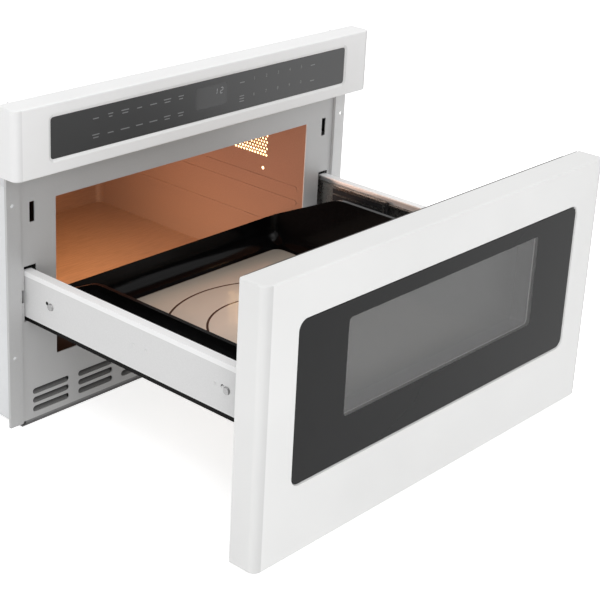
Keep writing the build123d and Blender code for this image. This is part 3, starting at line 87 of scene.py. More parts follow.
class Nodes:
    """A node tree with short ways to add nodes. Their inputs are numbers, colours or outputs."""

    def __init__(self, tree):
        self.tree = tree
        tree.nodes.clear()

    def add(self, kind):
        return self.tree.nodes.new(kind)

    def feed(self, socket, value):
        """Links a node's output to a socket, or sets the socket's own number or colour."""
        if isinstance(value, (int, float)):
            socket.default_value = value
        elif isinstance(value, tuple):
            socket.default_value = (*value, 1.0)
        else:
            self.tree.links.new(value, socket)

    def place(self, stretch=UNSTRETCHED):
        """The place in the part's own frame, in metres, stretched for directional patterns."""
        source = self.add("ShaderNodeTexCoord")
        mapping = self.add("ShaderNodeMapping")
        mapping.inputs["Scale"].default_value = stretch
        self.feed(mapping.inputs["Vector"], source.outputs["Object"])
        return mapping.outputs[0]

    def axes(self, vector):
        """The outputs X, Y and Z of a vector."""
        split = self.add("ShaderNodeSeparateXYZ")
        self.feed(split.inputs[0], vector)
        return split.outputs

    def noise(self, scale, detail=2.0, stretch=UNSTRETCHED):
        node = self.add("ShaderNodeTexNoise")
        node.inputs["Scale"].default_value = scale
        node.inputs["Detail"].default_value = detail
        node.inputs["Roughness"].default_value = NOISE_ROUGHNESS
        self.feed(node.inputs["Vector"], self.place(stretch))
        return node.outputs["Fac"]

    def maths(self, operation, first, second=0.0):
        node = self.add("ShaderNodeMath")
        node.operation = operation
        self.feed(node.inputs[0], first)
        self.feed(node.inputs[1], second)
        return node.outputs[0]

    def length(self, first, second):
        """The length of a vector with two components."""
        squares = [self.maths("MULTIPLY", part, part) for part in (first, second)]
        return self.maths("SQRT", self.maths("ADD", *squares))

    def spread(self, value, to_range, from_range=NOISE_RANGE):
        """Maps a value from one range onto another, and holds it there."""
        node = self.add("ShaderNodeMapRange")
        node.inputs["From Min"].default_value, node.inputs["From Max"].default_value = from_range
        node.inputs["To Min"].default_value, node.inputs["To Max"].default_value = to_range
        self.feed(node.inputs["Value"], value)
        return node.outputs[0]

    def fade(self, value, start, end):
        """Rises from 0 where the value is at the start to 1 where it is at the end."""
        return self.spread(value, (0.0, 1.0), (start, end))

    def blend(self, factor, first, second):
        """A colour between the first, at factor 0, and the second, at factor 1."""
        node = self.add("ShaderNodeMix")
        node.data_type = "RGBA"
        # inputs 6 and 7 are the colours A and B, those before them are for other kinds of data
        factor_socket, first_colour, second_colour = (node.inputs[k] for k in (0, 6, 7))
        self.feed(factor_socket, factor)
        self.feed(first_colour, first)
        self.feed(second_colour, second)
        return node.outputs[2]

    def mottle(self, value, dark, light):
        """A colour that follows a noise between two tones."""
        return self.blend(self.fade(value, *NOISE_RANGE), dark, light)

    def seen(self):
        """1 for rays that show the background, also in glass or metal, and 0 for all others."""
        path = self.add("ShaderNodeLightPath")
        straight = self.maths(
            "MAXIMUM", path.outputs["Is Camera Ray"], path.outputs["Is Transmission Ray"]
        )
        return self.maths("MAXIMUM", straight, path.outputs["Is Glossy Ray"])


class Finish(Nodes):
    """A material with one Principled shader."""

    def __init__(self, name):
        self.material = bpy.data.materials.new(name)
        self.material.use_nodes = True
        super().__init__(self.material.node_tree)
        output = self.add("ShaderNodeOutputMaterial")
        self.shader = self.add("ShaderNodeBsdfPrincipled")
        self.feed(output.inputs[0], self.shader.outputs[0])

    def set(self, socket_name, value):
        self.feed(self.shader.inputs[socket_name], value)

    def bump(self, height, strength, distance):
        node = self.add("ShaderNodeBump")
        node.inputs["Strength"].default_value = strength
        node.inputs["Distance"].default_value = distance
        self.feed(node.inputs["Height"], height)
        self.set("Normal", node.outputs[0])


# ------------------------------------------------------------------ materials


def grained(
    name,
    dark,
    light,
    rough,
    grain,
    metallic=0.0,
    specular=0.5,
    stretch=UNSTRETCHED,
    relief=FINE_RELIEF,
    relief_strength=0.25,
):
    """A surface whose tone drifts in broad patches, with a fine grain in its relief and gloss."""
    broad_share, fine_share = 0.6, 0.4
    finish = Finish(name)
    broad = finish.noise(BROAD_SCALE)
    fine = finish.noise(grain, detail=4.0, stretch=stretch)
    mixed = finish.maths(
        "ADD",
        finish.maths("MULTIPLY", broad, broad_share),
        finish.maths("MULTIPLY", fine, fine_share),
    )
    finish.set("Base Color", finish.mottle(mixed, dark, light))
    finish.set("Roughness", finish.spread(fine, rough))
    finish.set("Metallic", metallic)
    finish.set("Specular IOR Level", specular)
    finish.bump(fine, strength=relief_strength, distance=relief)
    return finish.material


plate_paint = grained(
    "plate_paint", grey(0.47), grey(0.52), rough=(0.36, 0.48), grain=500.0, metallic=0.15
)
# the right side flange takes the plate's grey in a lighter tone: painted light, for that side is
# lit more
flange_painted_light = grained(
    "flange_painted_light", grey(0.66), grey(0.70), rough=(0.36, 0.48), grain=500.0, metallic=0.1
)
# dark grey for the base pan: painted shade, as its front edge lies in shade under the front plate
painted_shade_grey = grained(
    "painted_shade_grey", grey(0.20), grey(0.25), rough=(0.45, 0.6), grain=400.0, metallic=0.2
)
# near black for the sheet on the cavity floor: painted shade where the basin shades the floor
floor_shade_black = grained(
    "floor_shade_black",
    (0.016, 0.019, 0.022),
    (0.022, 0.026, 0.030),
    rough=(0.4, 0.55),
    grain=900.0,
    specular=0.2,
)
black_enamel = grained(
    "black_enamel",
    grey(0.002),
    (0.004, 0.004, 0.0045),
    rough=(0.12, 0.22),
    grain=160.0,
    specular=0.13,
    relief_strength=0.08,
)
case_zinc = grained(
    "case_zinc",
    (0.66, 0.67, 0.68),
    (0.76, 0.77, 0.78),
    rough=(0.40, 0.55),
    grain=60.0,
    metallic=0.25,
)
galvanised = grained(
    "galvanised",
    (0.52, 0.53, 0.54),
    (0.74, 0.75, 0.76),
    rough=(0.28, 0.5),
    grain=90.0,
    metallic=0.9,
)
zinc = grained(
    "zinc",
    (0.46, 0.43, 0.38),
    (0.62, 0.58, 0.51),
    rough=(0.20, 0.34),
    grain=300.0,
    metallic=1.0,
    stretch=(1, 0.05, 1),
)
slide_steel = grained(
    "slide_steel",
    (0.30, 0.29, 0.275),
    (0.36, 0.35, 0.33),
    rough=(0.24, 0.32),
    grain=200.0,
    metallic=0.9,
    relief=0.01 * MM,
    relief_strength=0.04,
)
screw_steel = grained(
    "screw_steel",
    grey(0.26),
    grey(0.36),
    rough=(0.26, 0.36),
    grain=500.0,
    metallic=0.85,
    relief_strength=0.1,
)
core_steel = grained(
    "core_steel",
    (0.05, 0.045, 0.04),
    (0.16, 0.15, 0.14),
    rough=(0.4, 0.6),
    grain=1200.0,
    metallic=0.7,
    stretch=(0.02, 1, 0.02),
)
alloy = grained(
    "alloy", (0.72, 0.73, 0.74), (0.82, 0.83, 0.84), rough=(0.25, 0.4), grain=400.0, metallic=1.0
)
copper = grained(
    "copper",
    (0.38, 0.13, 0.04),
    (0.58, 0.22, 0.08),
    rough=(0.22, 0.4),
    grain=900.0,
    metallic=0.9,
    stretch=(0.05, 0.05, 1),
)
rack_resin = grained(
    "rack_resin", grey(0.003), grey(0.006), rough=(0.5, 0.65), grain=900.0, specular=0.06
)
black_plastic = grained(
    "black_plastic", (0.012, 0.012, 0.013), (0.022, 0.022, 0.024), rough=(0.38, 0.55), grain=1500.0
)
pale_resin = grained(
    "pale_resin", (0.70, 0.70, 0.67), (0.80, 0.80, 0.77), rough=(0.40, 0.55), grain=900.0
)
board_green = grained(
    "board_green", (0.02, 0.09, 0.04), (0.04, 0.14, 0.06), rough=(0.3, 0.45), grain=300.0
)
silicone = grained(
    "silicone", (0.02, 0.016, 0.014), (0.035, 0.03, 0.026), rough=(0.5, 0.65), grain=700.0
)
foil_print = grained(
    "foil_print", (0.06, 0.06, 0.062), (0.08, 0.08, 0.082), rough=(0.4, 0.5), grain=900.0
)
display_tone = grained(
    "display_tone", (0.028, 0.029, 0.03), (0.034, 0.035, 0.036), rough=(0.10, 0.16), grain=1500.0
)


def make_white_finish(name, dark, light, rough, grain, corner_shade_depth):
    """Even white finish, with painted shade that deepens its tone where it turns round an upright
    corner.
    """
    corner_shade_tone = grey(0.35)
    forwards_range = (0.15, 0.95)  # the part of the normal that turns from the side to the front
    finish = Finish(name)
    broad = finish.noise(BROAD_SCALE)
    fine = finish.noise(grain, detail=4.0)
    facing = finish.axes(finish.add("ShaderNodeTexCoord").outputs["Normal"])
    sideways = finish.maths("ABSOLUTE", facing["X"])
    forwards = finish.maths("ABSOLUTE", facing["Y"])
    turned = finish.spread(forwards, (0.0, corner_shade_depth), forwards_range)
    on_corner = finish.fade(sideways, 0.03, 0.10)
    tone = finish.mottle(broad, dark, light)
    depth = finish.maths("MULTIPLY", turned, on_corner)
    finish.set("Base Color", finish.blend(depth, tone, corner_shade_tone))
    finish.set("Roughness", finish.spread(fine, rough))
    finish.set("Specular IOR Level", 0.3)
    finish.bump(fine, strength=0.25, distance=FINE_RELIEF)
    return finish.material


white_paint = make_white_finish(
    "white_paint",
    (0.78, 0.78, 0.775),
    (0.82, 0.82, 0.815),
    rough=(0.30, 0.38),
    grain=900.0,
    corner_shade_depth=0.34,
)
white_plastic = make_white_finish(
    "white_plastic", grey(0.87), grey(0.91), rough=(0.32, 0.40), grain=1200.0, corner_shade_depth=0.22
)


def make_rail_paint():
    """Pale grey paint, with a painted highlight that lightens the rolled bead along the rail's
    top.
    """
    bead_z = 194.3 * MM
    bead_edge = 0.6 * MM
    finish = Finish("rail_paint")
    fine = finish.noise(700.0, detail=4.0)
    side = finish.mottle(fine, grey(0.69), grey(0.73))
    bead_highlight = finish.mottle(fine, grey(0.92), grey(0.95))
    on_bead = finish.fade(finish.axes(finish.place())["Z"], bead_z, bead_z + bead_edge)
    finish.set("Base Color", finish.blend(on_bead, side, bead_highlight))
    finish.set("Roughness", finish.spread(fine, (0.36, 0.46)))
    finish.bump(fine, strength=0.2, distance=FINE_RELIEF)
    return finish.material


def make_cavity_steel():
    """Stainless sheet brushed along its length. Its orange cast is painted lamp light, and painted
    shade deepens its tone towards the roof and the left.
    """
    fade_low_z, fade_high_z = 55.0 * MM, 200.0 * MM
    wall_x = 210.0 * MM
    finish = Finish("cavity_steel")
    brushed = finish.noise(60.0, detail=4.0, stretch=(0.6, 12.0, 12.0))
    hairline = finish.noise(240.0, stretch=(0.15, 8.0, 8.0))
    place = finish.axes(finish.place())
    upward = finish.fade(place["Z"], fade_low_z, fade_high_z)
    rightward = finish.fade(place["X"], 0.0, wall_x)
    streak = finish.fade(brushed, 0.35, 0.65)
    # lit and shaded copies of the same steel: painted light low down and on the right, painted
    # shade high up and on the left
    low_left = finish.blend(streak, (0.34, 0.195, 0.105), (0.44, 0.255, 0.14))
    low_right = finish.blend(streak, (0.38, 0.24, 0.165), (0.46, 0.285, 0.185))
    high_left = finish.blend(streak, (0.22, 0.115, 0.075), (0.30, 0.165, 0.11))
    high_right = finish.blend(streak, (0.32, 0.185, 0.13), (0.38, 0.22, 0.16))
    low = finish.blend(rightward, low_left, low_right)
    high = finish.blend(rightward, high_left, high_right)
    finish.set("Base Color", finish.blend(upward, low, high))
    finish.set("Roughness", finish.spread(hairline, (0.30, 0.44)))
    finish.set("Metallic", 0.45)
    finish.bump(hairline, strength=0.2, distance=0.03 * MM)
    return finish.material


def make_panel_print():
    """The panel's dark printed glass: an even print under a clear, slightly wavy surface."""
    print_tone = (0.045, 0.046, 0.047)
    finish = Finish("panel_print")
    broad = finish.noise(4.0)
    speck = finish.noise(2400.0)
    finish.set("Base Color", finish.mottle(broad, print_tone, scaled(print_tone, 1.12)))
    finish.set("Roughness", finish.spread(speck, (0.34, 0.42)))
    finish.set("Specular IOR Level", 0.5)
    finish.bump(broad, strength=0.05, distance=GLASS_RELIEF)
    return finish.material


def make_tray_ceramic():
    """Beige glass ceramic with two thin printed rings round the feed, and painted shade that greys
    it at the rear edge.
    """
    ring_radii = (97.0 * MM, 148.0 * MM)
    ring_width = 3.0 * MM
    fade_start, fade_end, fade_depth = 130.0 * MM, 10.0 * MM, 0.9
    low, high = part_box("ceramic_tray")
    finish = Finish("tray_ceramic")
    place = finish.axes(finish.place())
    rearward = finish.maths("SUBTRACT", place["Y"], (low.y + high.y) / 2)
    radius = finish.length(place["X"], rearward)
    lines = []
    for ring in ring_radii:
        away = finish.maths("ABSOLUTE", finish.maths("SUBTRACT", radius, ring))
        lines.append(finish.maths("LESS_THAN", away, ring_width / 2))
    cloud = finish.noise(14.0, detail=4.0)
    speck = finish.noise(900.0)
    beige = finish.mottle(cloud, (0.66, 0.58, 0.495), (0.72, 0.63, 0.54))
    # painted shade greys the tray along its rear edge
    rear = finish.spread(place["Y"], (0.0, fade_depth), (high.y - fade_start, high.y - fade_end))
    rear_shaded = finish.blend(rear, beige, (0.27, 0.29, 0.27))
    on_line = finish.maths("MAXIMUM", *lines)
    finish.set("Base Color", finish.blend(on_line, rear_shaded, (0.045, 0.03, 0.025)))
    finish.set("Roughness", finish.spread(speck, (0.10, 0.20)))
    finish.set("Coat Weight", 0.35)
    finish.set("Coat Roughness", 0.04)
    finish.bump(speck, strength=0.08, distance=FINE_RELIEF)
    return finish.material


def make_inner_glass():
    """Thin clear glass: mostly transparent, with a sharp surface reflection."""
    tint = (0.75, 0.77, 0.78)
    finish = Finish("inner_window_glass")
    speck = finish.noise(900.0)
    finish.set("Base Color", finish.mottle(speck, tint, scaled(tint, 0.97)))
    finish.set("Roughness", finish.spread(speck, (0.02, 0.05)))
    finish.set("Alpha", 0.25)
    return finish.material


def make_glow(name, cloud_scale, dim, bright, strength):
    """A surface that glows in a tone that drifts a little."""
    finish = Finish(name)
    tone = finish.mottle(finish.noise(cloud_scale), dim, bright)
    finish.set("Base Color", tone)
    finish.set("Emission Color", tone)
    finish.set("Emission Strength", strength)
    return finish.material


def make_ink(name, colour, glow):
    """Printed ink, or the lit figures of a display."""
    finish = Finish(name)
    speck = finish.noise(2600.0)
    tone = finish.mottle(speck, scaled(colour, 0.88), colour)
    finish.set("Base Color", tone)
    finish.set("Emission Color", tone)
    finish.set("Roughness", finish.spread(speck, (0.4, 0.6)))
    finish.set("Emission Strength", glow)
    return finish.material


rail_paint = make_rail_paint()
cavity_steel = make_cavity_steel()
panel_print = make_panel_print()
tray_ceramic = make_tray_ceramic()
inner_glass = make_inner_glass()
lamp_glow = make_glow("lamp_glow", 120.0, (1.0, 0.80, 0.45), (1.0, 0.86, 0.55), 6.0)
# the glow of the pane, the low holes and the dot on the right wall is painted light from the lamp
# behind the wall
painted_lamp_light = make_glow("painted_lamp_light", 60.0, (1.0, 0.70, 0.34), (1.0, 0.80, 0.46), 2.4)
legend_ink = make_ink("legend_ink", (0.24, 0.245, 0.25), 0.0)
display_ink = make_ink("display_ink", (0.42, 0.43, 0.44), 0.1)

# ------------------------------------------------------------------ the door's window

window_low, window_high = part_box("window_frame")
window_half_w = 173.0 * MM
window_half_h = 57.0 * MM
window_mid_z = (window_low.z + window_high.z) / 2


def make_door_print():
    """Glass printed dark round its window. The window is tinted and lets the screen show."""
    corner = 5.0 * MM
    window_alpha = 0.36
    finish = Finish("door_print")
    place = finish.axes(finish.place())
    from_mid = (place["X"], finish.maths("SUBTRACT", place["Z"], window_mid_z))
    straights = (window_half_w - corner, window_half_h - corner)
    past_straights = [
        finish.maths(
            "MAXIMUM", finish.maths("SUBTRACT", finish.maths("ABSOLUTE", away), straight), 0.0
        )
        for away, straight in zip(from_mid, straights)
    ]
    window = finish.maths("LESS_THAN", finish.length(*past_straights), corner)
    broad = finish.noise(3.0)
    speck = finish.noise(1800.0)
    printed = finish.mottle(broad, (0.009, 0.0093, 0.0096), (0.012, 0.0124, 0.0128))
    finish.set("Base Color", finish.blend(window, printed, grey(0.27)))
    finish.set("Roughness", finish.spread(speck, (0.08, 0.13)))
    finish.set("Alpha", finish.spread(window, (1.0, window_alpha), (0.0, 1.0)))
    finish.set("Specular IOR Level", 0.1)
    finish.bump(broad, strength=0.04, distance=GLASS_RELIEF)
    return finish.material


def make_screen_steel():
    """Dark enamelled sheet with a fine grid of round holes in staggered rows."""
    pitch = 2.4 * MM
    row_step = pitch * 0.866
    hole_radius = 0.66 * MM
    finish = Finish("screen_steel")
    place = finish.axes(finish.place())
    row = finish.maths("DIVIDE", place["Z"], row_step)
    row_index = finish.maths("FLOOR", row)
    odd_row = finish.maths("FLOORED_MODULO", row_index, 2.0)
    stagger = finish.maths("MULTIPLY", odd_row, 0.5)
    column = finish.maths("ADD", finish.maths("DIVIDE", place["X"], pitch), stagger)
    across = finish.maths("SUBTRACT", finish.maths("FRACT", column), 0.5)
    upward = finish.maths("SUBTRACT", finish.maths("SUBTRACT", row, row_index), 0.5)
    from_hole = finish.length(
        finish.maths("MULTIPLY", across, pitch), finish.maths("MULTIPLY", upward, row_step)
    )
    in_hole = finish.maths("LESS_THAN", from_hole, hole_radius)
    fine = finish.noise(800.0, detail=3.0)
    finish.set("Base Color", finish.mottle(fine, grey(0.10), grey(0.15)))
    finish.set("Roughness", finish.spread(fine, (0.30, 0.42)))
    finish.set("Metallic", 0.6)
    finish.set("Alpha", finish.maths("SUBTRACT", 1.0, in_hole))
    return finish.material


# ------------------------------------------------------------------ finishes of the CAD pieces

finishes = {
    white_paint: ["door_skin"],
    white_plastic: ["control_bezel"],
    rail_paint: ["rail_left", "rail_right"],
    plate_paint: ["front_plate", "side_flange_left"],
    flange_painted_light: ["side_flange_right"],
    black_enamel: ["basin", "door_frame", "perforated_screen"],
    cavity_steel: ["cavity_liner", "antenna_well", "antenna_cover"],
    painted_shade_grey: ["base_pan"],
    case_zinc: ["outer_case", "rear_panel"],
    galvanised: [
        "waveguide",
        "magnetron_yoke",
        "magnetron_filter_box",
        "slide_brackets",
        "lamp_housing",
    ],
    zinc: ["case_screws", "panel_screws", "antenna_motor", "fan_motor"],
    slide_steel: [
        "slide_outer_left",
        "slide_outer_right",
        "slide_middle_left",
        "slide_middle_right",
        "slide_inner_left",
        "slide_inner_right",
    ],
    screw_steel: ["rail_screws"],
    alloy: ["stirrer_antenna", "magnetron_anode", "hv_capacitor"],
    black_plastic: [
        "hv_diode",
        "thermal_cutouts",
        "power_inlet",
        "drive_motor",
        "window_frame",
        "choke_cover",
        "interlock_switches",
        "display_module",
    ],
    pale_resin: ["fan_housing", "fan_wheel", "air_duct", "drive_pinion", "latch_hooks"],
    rack_resin: ["drive_rack"],
    core_steel: ["hv_transformer_core"],
    copper: ["hv_transformer_coils"],
    board_green: ["mains_filter_board", "control_board"],
    silicone: ["tray_seal"],
    foil_print: ["touch_foil"],
    panel_print: ["control_glass"],
    tray_ceramic: ["ceramic_tray"],
    inner_glass: ["inner_window"],
    lamp_glow: ["lamp_bulb"],
    make_door_print(): ["door_glass"],
}


def dress(node_name, material):
    """Gives a CAD piece its material in every slot."""
    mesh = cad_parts[node_name].data
    mesh.materials.clear()
    mesh.materials.append(material)
    for face in mesh.polygons:
        face.material_index = 0


for finish_material, node_names in finishes.items():
    for dressed_name in node_names:
        dress(dressed_name, finish_material)

# ------------------------------------------------------------------ mesh helpers


def mesh_object(name, build, material):
    """Turns built mesh data into an object of the scene."""
    mesh = bpy.data.meshes.new(name)
    build.normal_update()
    build.to_mesh(mesh)
    build.free()
    thing = bpy.data.objects.new(name, mesh)
    bpy.context.scene.collection.objects.link(thing)
    mesh.materials.append(material)
    return thing


def add_piece(name, build, material, body, smooth=False):
    """Turns built mesh data into a piece that rides on a body."""
    bmesh.ops.recalc_face_normals(build, faces=build.faces)
    piece = mesh_object(name, build, material)
    for face in piece.data.polygons:
        face.use_smooth = smooth
    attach(piece, body)
    return piece


def rounded_outline(half_w, half_h, radius, segments=8):
    """Corner points of a rounded rectangle round the origin, anticlockwise, as (x, z)."""
    points = []
    for sx, sz, start in ((1, -1, -90), (1, 1, 0), (-1, 1, 90), (-1, -1, 180)):
        for k in range(segments + 1):
            a = math.radians(start + 90 * k / segments)
            x = sx * (half_w - radius) + radius * math.cos(a)
            z = sz * (half_h - radius) + radius * math.sin(a)
            points.append((x, z))
    return points


def flat_face(build, outline, x, y, z):
    """Adds one upright face, its outline given round (x, z)."""
    build.faces.new([build.verts.new((x + px, y, z + pz)) for px, pz in outline])


def bridge(build, first, second):
    """Adds the faces between two closed rows of equally many vertices."""
    for k in range(len(first)):
        after = (k + 1) % len(first)
        build.faces.new((first[k], first[after], second[after], second[k]))


def upright_sheet(outline, mid_z, y_range):
    """A closed sheet between two values of y, its outline given round mid_z."""
    build = bmesh.new()
    front, back = [[build.verts.new((x, y, z + mid_z)) for x, z in outline] for y in y_range]
    bridge(build, front, back)
    build.faces.new(list(reversed(front)))
    build.faces.new(back)
    bmesh.ops.recalc_face_normals(build, faces=build.faces)
    return build


def slab(build, x_range, y_range, z_range):
    """Adds a plain slab."""
    v = [build.verts.new((x, y, z)) for x in x_range for y in y_range for z in z_range]
    quads = ((0, 1, 3, 2), (4, 6, 7, 5), (0, 4, 5, 1), (2, 3, 7, 6), (0, 2, 6, 4), (1, 5, 7, 3))
    for quad in quads:
        build.faces.new([v[k] for k in quad])


def slabs_on_both_sides(build, *slabs):
    """Adds slabs left and right, each given by its ranges of x, y and z on the right."""
    for side in SIDES:
        for x_range, y_range, z_range in slabs:
            slab(build, sorted(side * x for x in x_range), y_range, z_range)


def dome(build, centre, side, radius, height, rings=4, points=14):
    """Adds a shallow dome that stands off a wall towards +X or -X, as side says."""
    x, y, z = centre
    rows = []
    for ring in range(rings):
        rise_angle = ring / rings * math.pi / 2
        r, rise = radius * math.cos(rise_angle), height * math.sin(rise_angle)
        turns = [2 * math.pi * k / points for k in range(points)]
        rows.append(
            [
                build.verts.new((x + side * rise, y + r * math.cos(a), z + r * math.sin(a)))
                for a in turns
            ]
        )
    top = build.verts.new((x + side * height, y, z))
    for lower, upper in zip(rows, rows[1:]):
        bridge(build, lower, upper)
    for k in range(points):
        build.faces.new((rows[-1][k], rows[-1][(k + 1) % points], top))
    build.faces.new(rows[0])


# ------------------------------------------------------------------ fine screen in the window

screen_low, screen_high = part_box("perforated_screen")
screen_half_w = (screen_high.x - screen_low.x) / 2
screen_half_h = (screen_high.z - screen_low.z) / 2
screen_corner = 11.0 * MM
screen_sheet = upright_sheet(
    rounded_outline(screen_half_w, screen_half_h, screen_corner),
    window_mid_z,
    (screen_low.y, screen_high.y),
)
screen = mesh_object("fine_screen", screen_sheet, make_screen_steel())
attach(screen, "drawer")
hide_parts("perforated_screen")

# ------------------------------------------------------------------ printed legends on the panel

panel_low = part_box("control_glass")[0]
legend_y = panel_low.y - 0.04 * MM  # print lies just before the glass
display_y = panel_low.y - 0.02 * MM

# word keys are plain bars: their columns, rows, widths in millimetres, and lines under each other
word_columns = [(-186.3 + 22.5 * k) * MM for k in range(7)]
word_rows = (377.0 * MM, 356.0 * MM)
word_widths = ((9, 8, 12, 8, 11, 12, 9), (11, 9, 14, 11, 13, 11, 10))
word_lines = ((1, 2, 2, 1, 1, 2, 2), (2, 1, 1, 1, 1, 2, 2))
shortening = 2.5  # of each line against the one over it, in millimetres
side_words = ((55.0 * MM, (1, 3)), (188.5 * MM, (1, 1)))
side_word_width = 8.5 * MM
line_step = 3.4 * MM
line_height = 1.25 * MM

digit_columns = [(77.1 + 22.2 * k) * MM for k in range(5)]
digit_rows = (378.4 * MM, 357.9 * MM)
digit_height = 4.4 * MM
font_scale = 1.35  # size of the font over the height of its digits

display_x = (-25.5 * MM, 28.0 * MM)
display_z = (355.0 * MM, 382.0 * MM)
display_corner = 0.8 * MM
clock_figures_x = (("1", 6.5 * MM), ("2", 16.5 * MM))
clock_z = 373.5 * MM
clock_height = 7.0 * MM


def printed_lines(build, x, z, widths):
    """Adds flat bars with rounded ends under each other, centred on (x, z)."""
    rounding = 0.45
    for k, width in enumerate(widths):
        radius = min(width, line_height) * rounding
        line_z = z - (k - (len(widths) - 1) / 2) * line_step
        bar = rounded_outline(width / 2, line_height / 2, radius, 3)
        flat_face(build, bar, x, legend_y, line_z)


def printed_figure(build, figure, x, z, height):
    """Adds a plain printed figure, centred on (x, z)."""
    curve = bpy.data.curves.new("figure", "FONT")
    curve.body = figure
    curve.size = height * font_scale
    curve.align_x = "CENTER"
    curve.align_y = "CENTER"
    holder = bpy.data.objects.new("figure", curve)
    bpy.context.scene.collection.objects.link(holder)
    bpy.context.view_layer.update()
    flat = bpy.data.meshes.new_from_object(holder)
    upright = Matrix.Rotation(math.radians(90), 4, "X")
    flat.transform(Matrix.Translation((x, legend_y, z)) @ upright)
    build.from_mesh(flat)
    bpy.data.objects.remove(holder)
    bpy.data.meshes.remove(flat)


def seven_segment(build, figure, x, z, height):
    """Adds the figure 1 or 2 of a display, its left edge at x and its middle at z."""
    width, thick, lean = height * 0.55, height * 0.11, 0.12
    fill, rounding = 0.9, 0.4
    segments = {"1": "bc", "2": "abged"}[figure]
    bars = {
        "a": (width / 2, height / 2, width, thick),
        "g": (width / 2, 0, width, thick),
        "d": (width / 2, -height / 2, width, thick),
        "b": (width, height / 4, thick, height / 2),
        "c": (width, -height / 4, thick, height / 2),
        "e": (0, -height / 4, thick, height / 2),
    }
    for name in segments:
        mid_x, mid_z, bar_w, bar_h = bars[name]
        bar = rounded_outline(bar_w / 2 * fill, bar_h / 2 * fill, min(bar_w, bar_h) * rounding, 2)
        leaning = [(mid_x + px + (mid_z + pz) * lean, mid_z + pz) for px, pz in bar]
        flat_face(build, leaning, x, legend_y, z)


legends = bmesh.new()
for z, widths, counts in zip(word_rows, word_widths, word_lines):
    for x, width, count in zip(word_columns, widths, counts):
        printed_lines(legends, x, z, [(width - shortening * k) * MM for k in range(count)])
for x, counts in side_words:
    for z, count in zip(word_rows, counts):
        printed_lines(legends, x, z, [side_word_width] * count)
for row, z in enumerate(digit_rows):
    for column, x in enumerate(digit_columns):
        digit = (row * len(digit_columns) + column + 1) % 10
        printed_figure(legends, str(digit), x, z, digit_height)
legend_print = mesh_object("panel_legends", legends, legend_ink)
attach(legend_print, "chassis")

display_face = bmesh.new()
display_outline = rounded_outline(
    (display_x[1] - display_x[0]) / 2, (display_z[1] - display_z[0]) / 2, display_corner, 3
)
flat_face(display_face, display_outline, sum(display_x) / 2, display_y, sum(display_z) / 2)
display_window = mesh_object("display_window", display_face, display_tone)
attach(display_window, "chassis")

clock = bmesh.new()
for figure, x in clock_figures_x:
    seven_segment(clock, figure, x, clock_z, clock_height)
clock_figures = mesh_object("display_figures", clock, display_ink)
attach(clock_figures, "chassis")

# ------------------------------------------------------------------ rivets on the rails, and painted shade of holes beside the screws

# places are y and z in millimetres
rail_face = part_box("rail_right")[1].x
rivet_places = ((-185.0, 172.0), (-205.0, 172.0), (-310.0, 172.0), (-322.0, 172.0))
rivet_radius, rivet_rise = 1.9 * MM, 0.9 * MM
screw_places = ((-46.0, 170.0), (-328.0, 170.0))
hole_shade_offset = (6.6, 2.6)  # from the screw beside it
hole_shade_radius, hole_shade_rise = 2.3 * MM, 0.12 * MM
rivets = bmesh.new()
hole_shades = bmesh.new()
for side in SIDES:
    web = side * (rail_face - 0.5 * MM)
    for y, z in rivet_places:
        dome(rivets, (web, y * MM, z * MM), side, rivet_radius, rivet_rise)
    # dark dots beside the screws: painted shade standing in for holes
    for y, z in screw_places:
        centre = (web, (y + hole_shade_offset[0]) * MM, (z + hole_shade_offset[1]) * MM)
        dome(hole_shades, centre, side, hole_shade_radius, hole_shade_rise, rings=2)
add_piece("rail_rivets", rivets, rail_paint, "drawer", smooth=True)
add_piece("rail_hole_shades", hole_shades, rack_resin, "drawer")

# ------------------------------------------------------------------ inside the mouth

# black sheet on the cavity floor under the drawer's rear end: painted shade where the basin shades
# the floor
floor_shade_x = (-219.8 * MM, 219.8 * MM)
floor_shade_y = (1.4 * MM, 118.0 * MM)
floor_shade_z = (53.0 * MM, 53.6 * MM)
floor_shade = bmesh.new()
slab(floor_shade, floor_shade_x, floor_shade_y, floor_shade_z)
add_piece("mouth_floor_shade", floor_shade, floor_shade_black, "chassis")

# frosted pane between the lamp and the holes of the right wall, glowing with painted light from
# the lamp behind it
pane_x = (221.7 * MM, 222.3 * MM)
pane_y = (64.0 * MM, 140.0 * MM)
pane_z = (218.0 * MM, 276.0 * MM)
pane = bmesh.new()
slab(pane, pane_x, pane_y, pane_z)
add_piece("lamp_pane", pane, painted_lamp_light, "chassis")

# two more rows of glowing domes under the liner's holes, counted from the middle of their field:
# painted light standing in for holes lit by the lamp
cavity_wall = 220.5 * MM
field_y, field_z = 102.0 * MM, 247.0 * MM
hole_pitch = 5.4 * MM
hole_row_step = 0.87  # between rows, as a share of the pitch
hole_radius, hole_rise = 1.7 * MM, 0.08 * MM
holes_in_row = 12
low_hole_glows = bmesh.new()
for row in (5, 6):
    stagger = (row % 2) / 2
    for column in range(holes_in_row):
        y = field_y + (column - (holes_in_row - 1) / 2 + stagger) * hole_pitch
        z = field_z - row * hole_pitch * hole_row_step
        centre = (cavity_wall - 0.02 * MM, y, z)
        dome(low_hole_glows, centre, -1, hole_radius, hole_rise, rings=2, points=12)
add_piece("lamp_low_hole_glows", low_hole_glows, painted_lamp_light, "chassis")

# a small glowing dome under them: painted light where a hole in the wall shows the lamp
glow_dot_place = (cavity_wall, 78.0 * MM, 199.0 * MM)
glow_dot_radius, glow_dot_rise = 2.3 * MM, 0.4 * MM
glow_dot = bmesh.new()
dome(glow_dot, glow_dot_place, -1, glow_dot_radius, glow_dot_rise)
add_piece("wall_glow_dot", glow_dot, painted_lamp_light, "chassis", smooth=True)

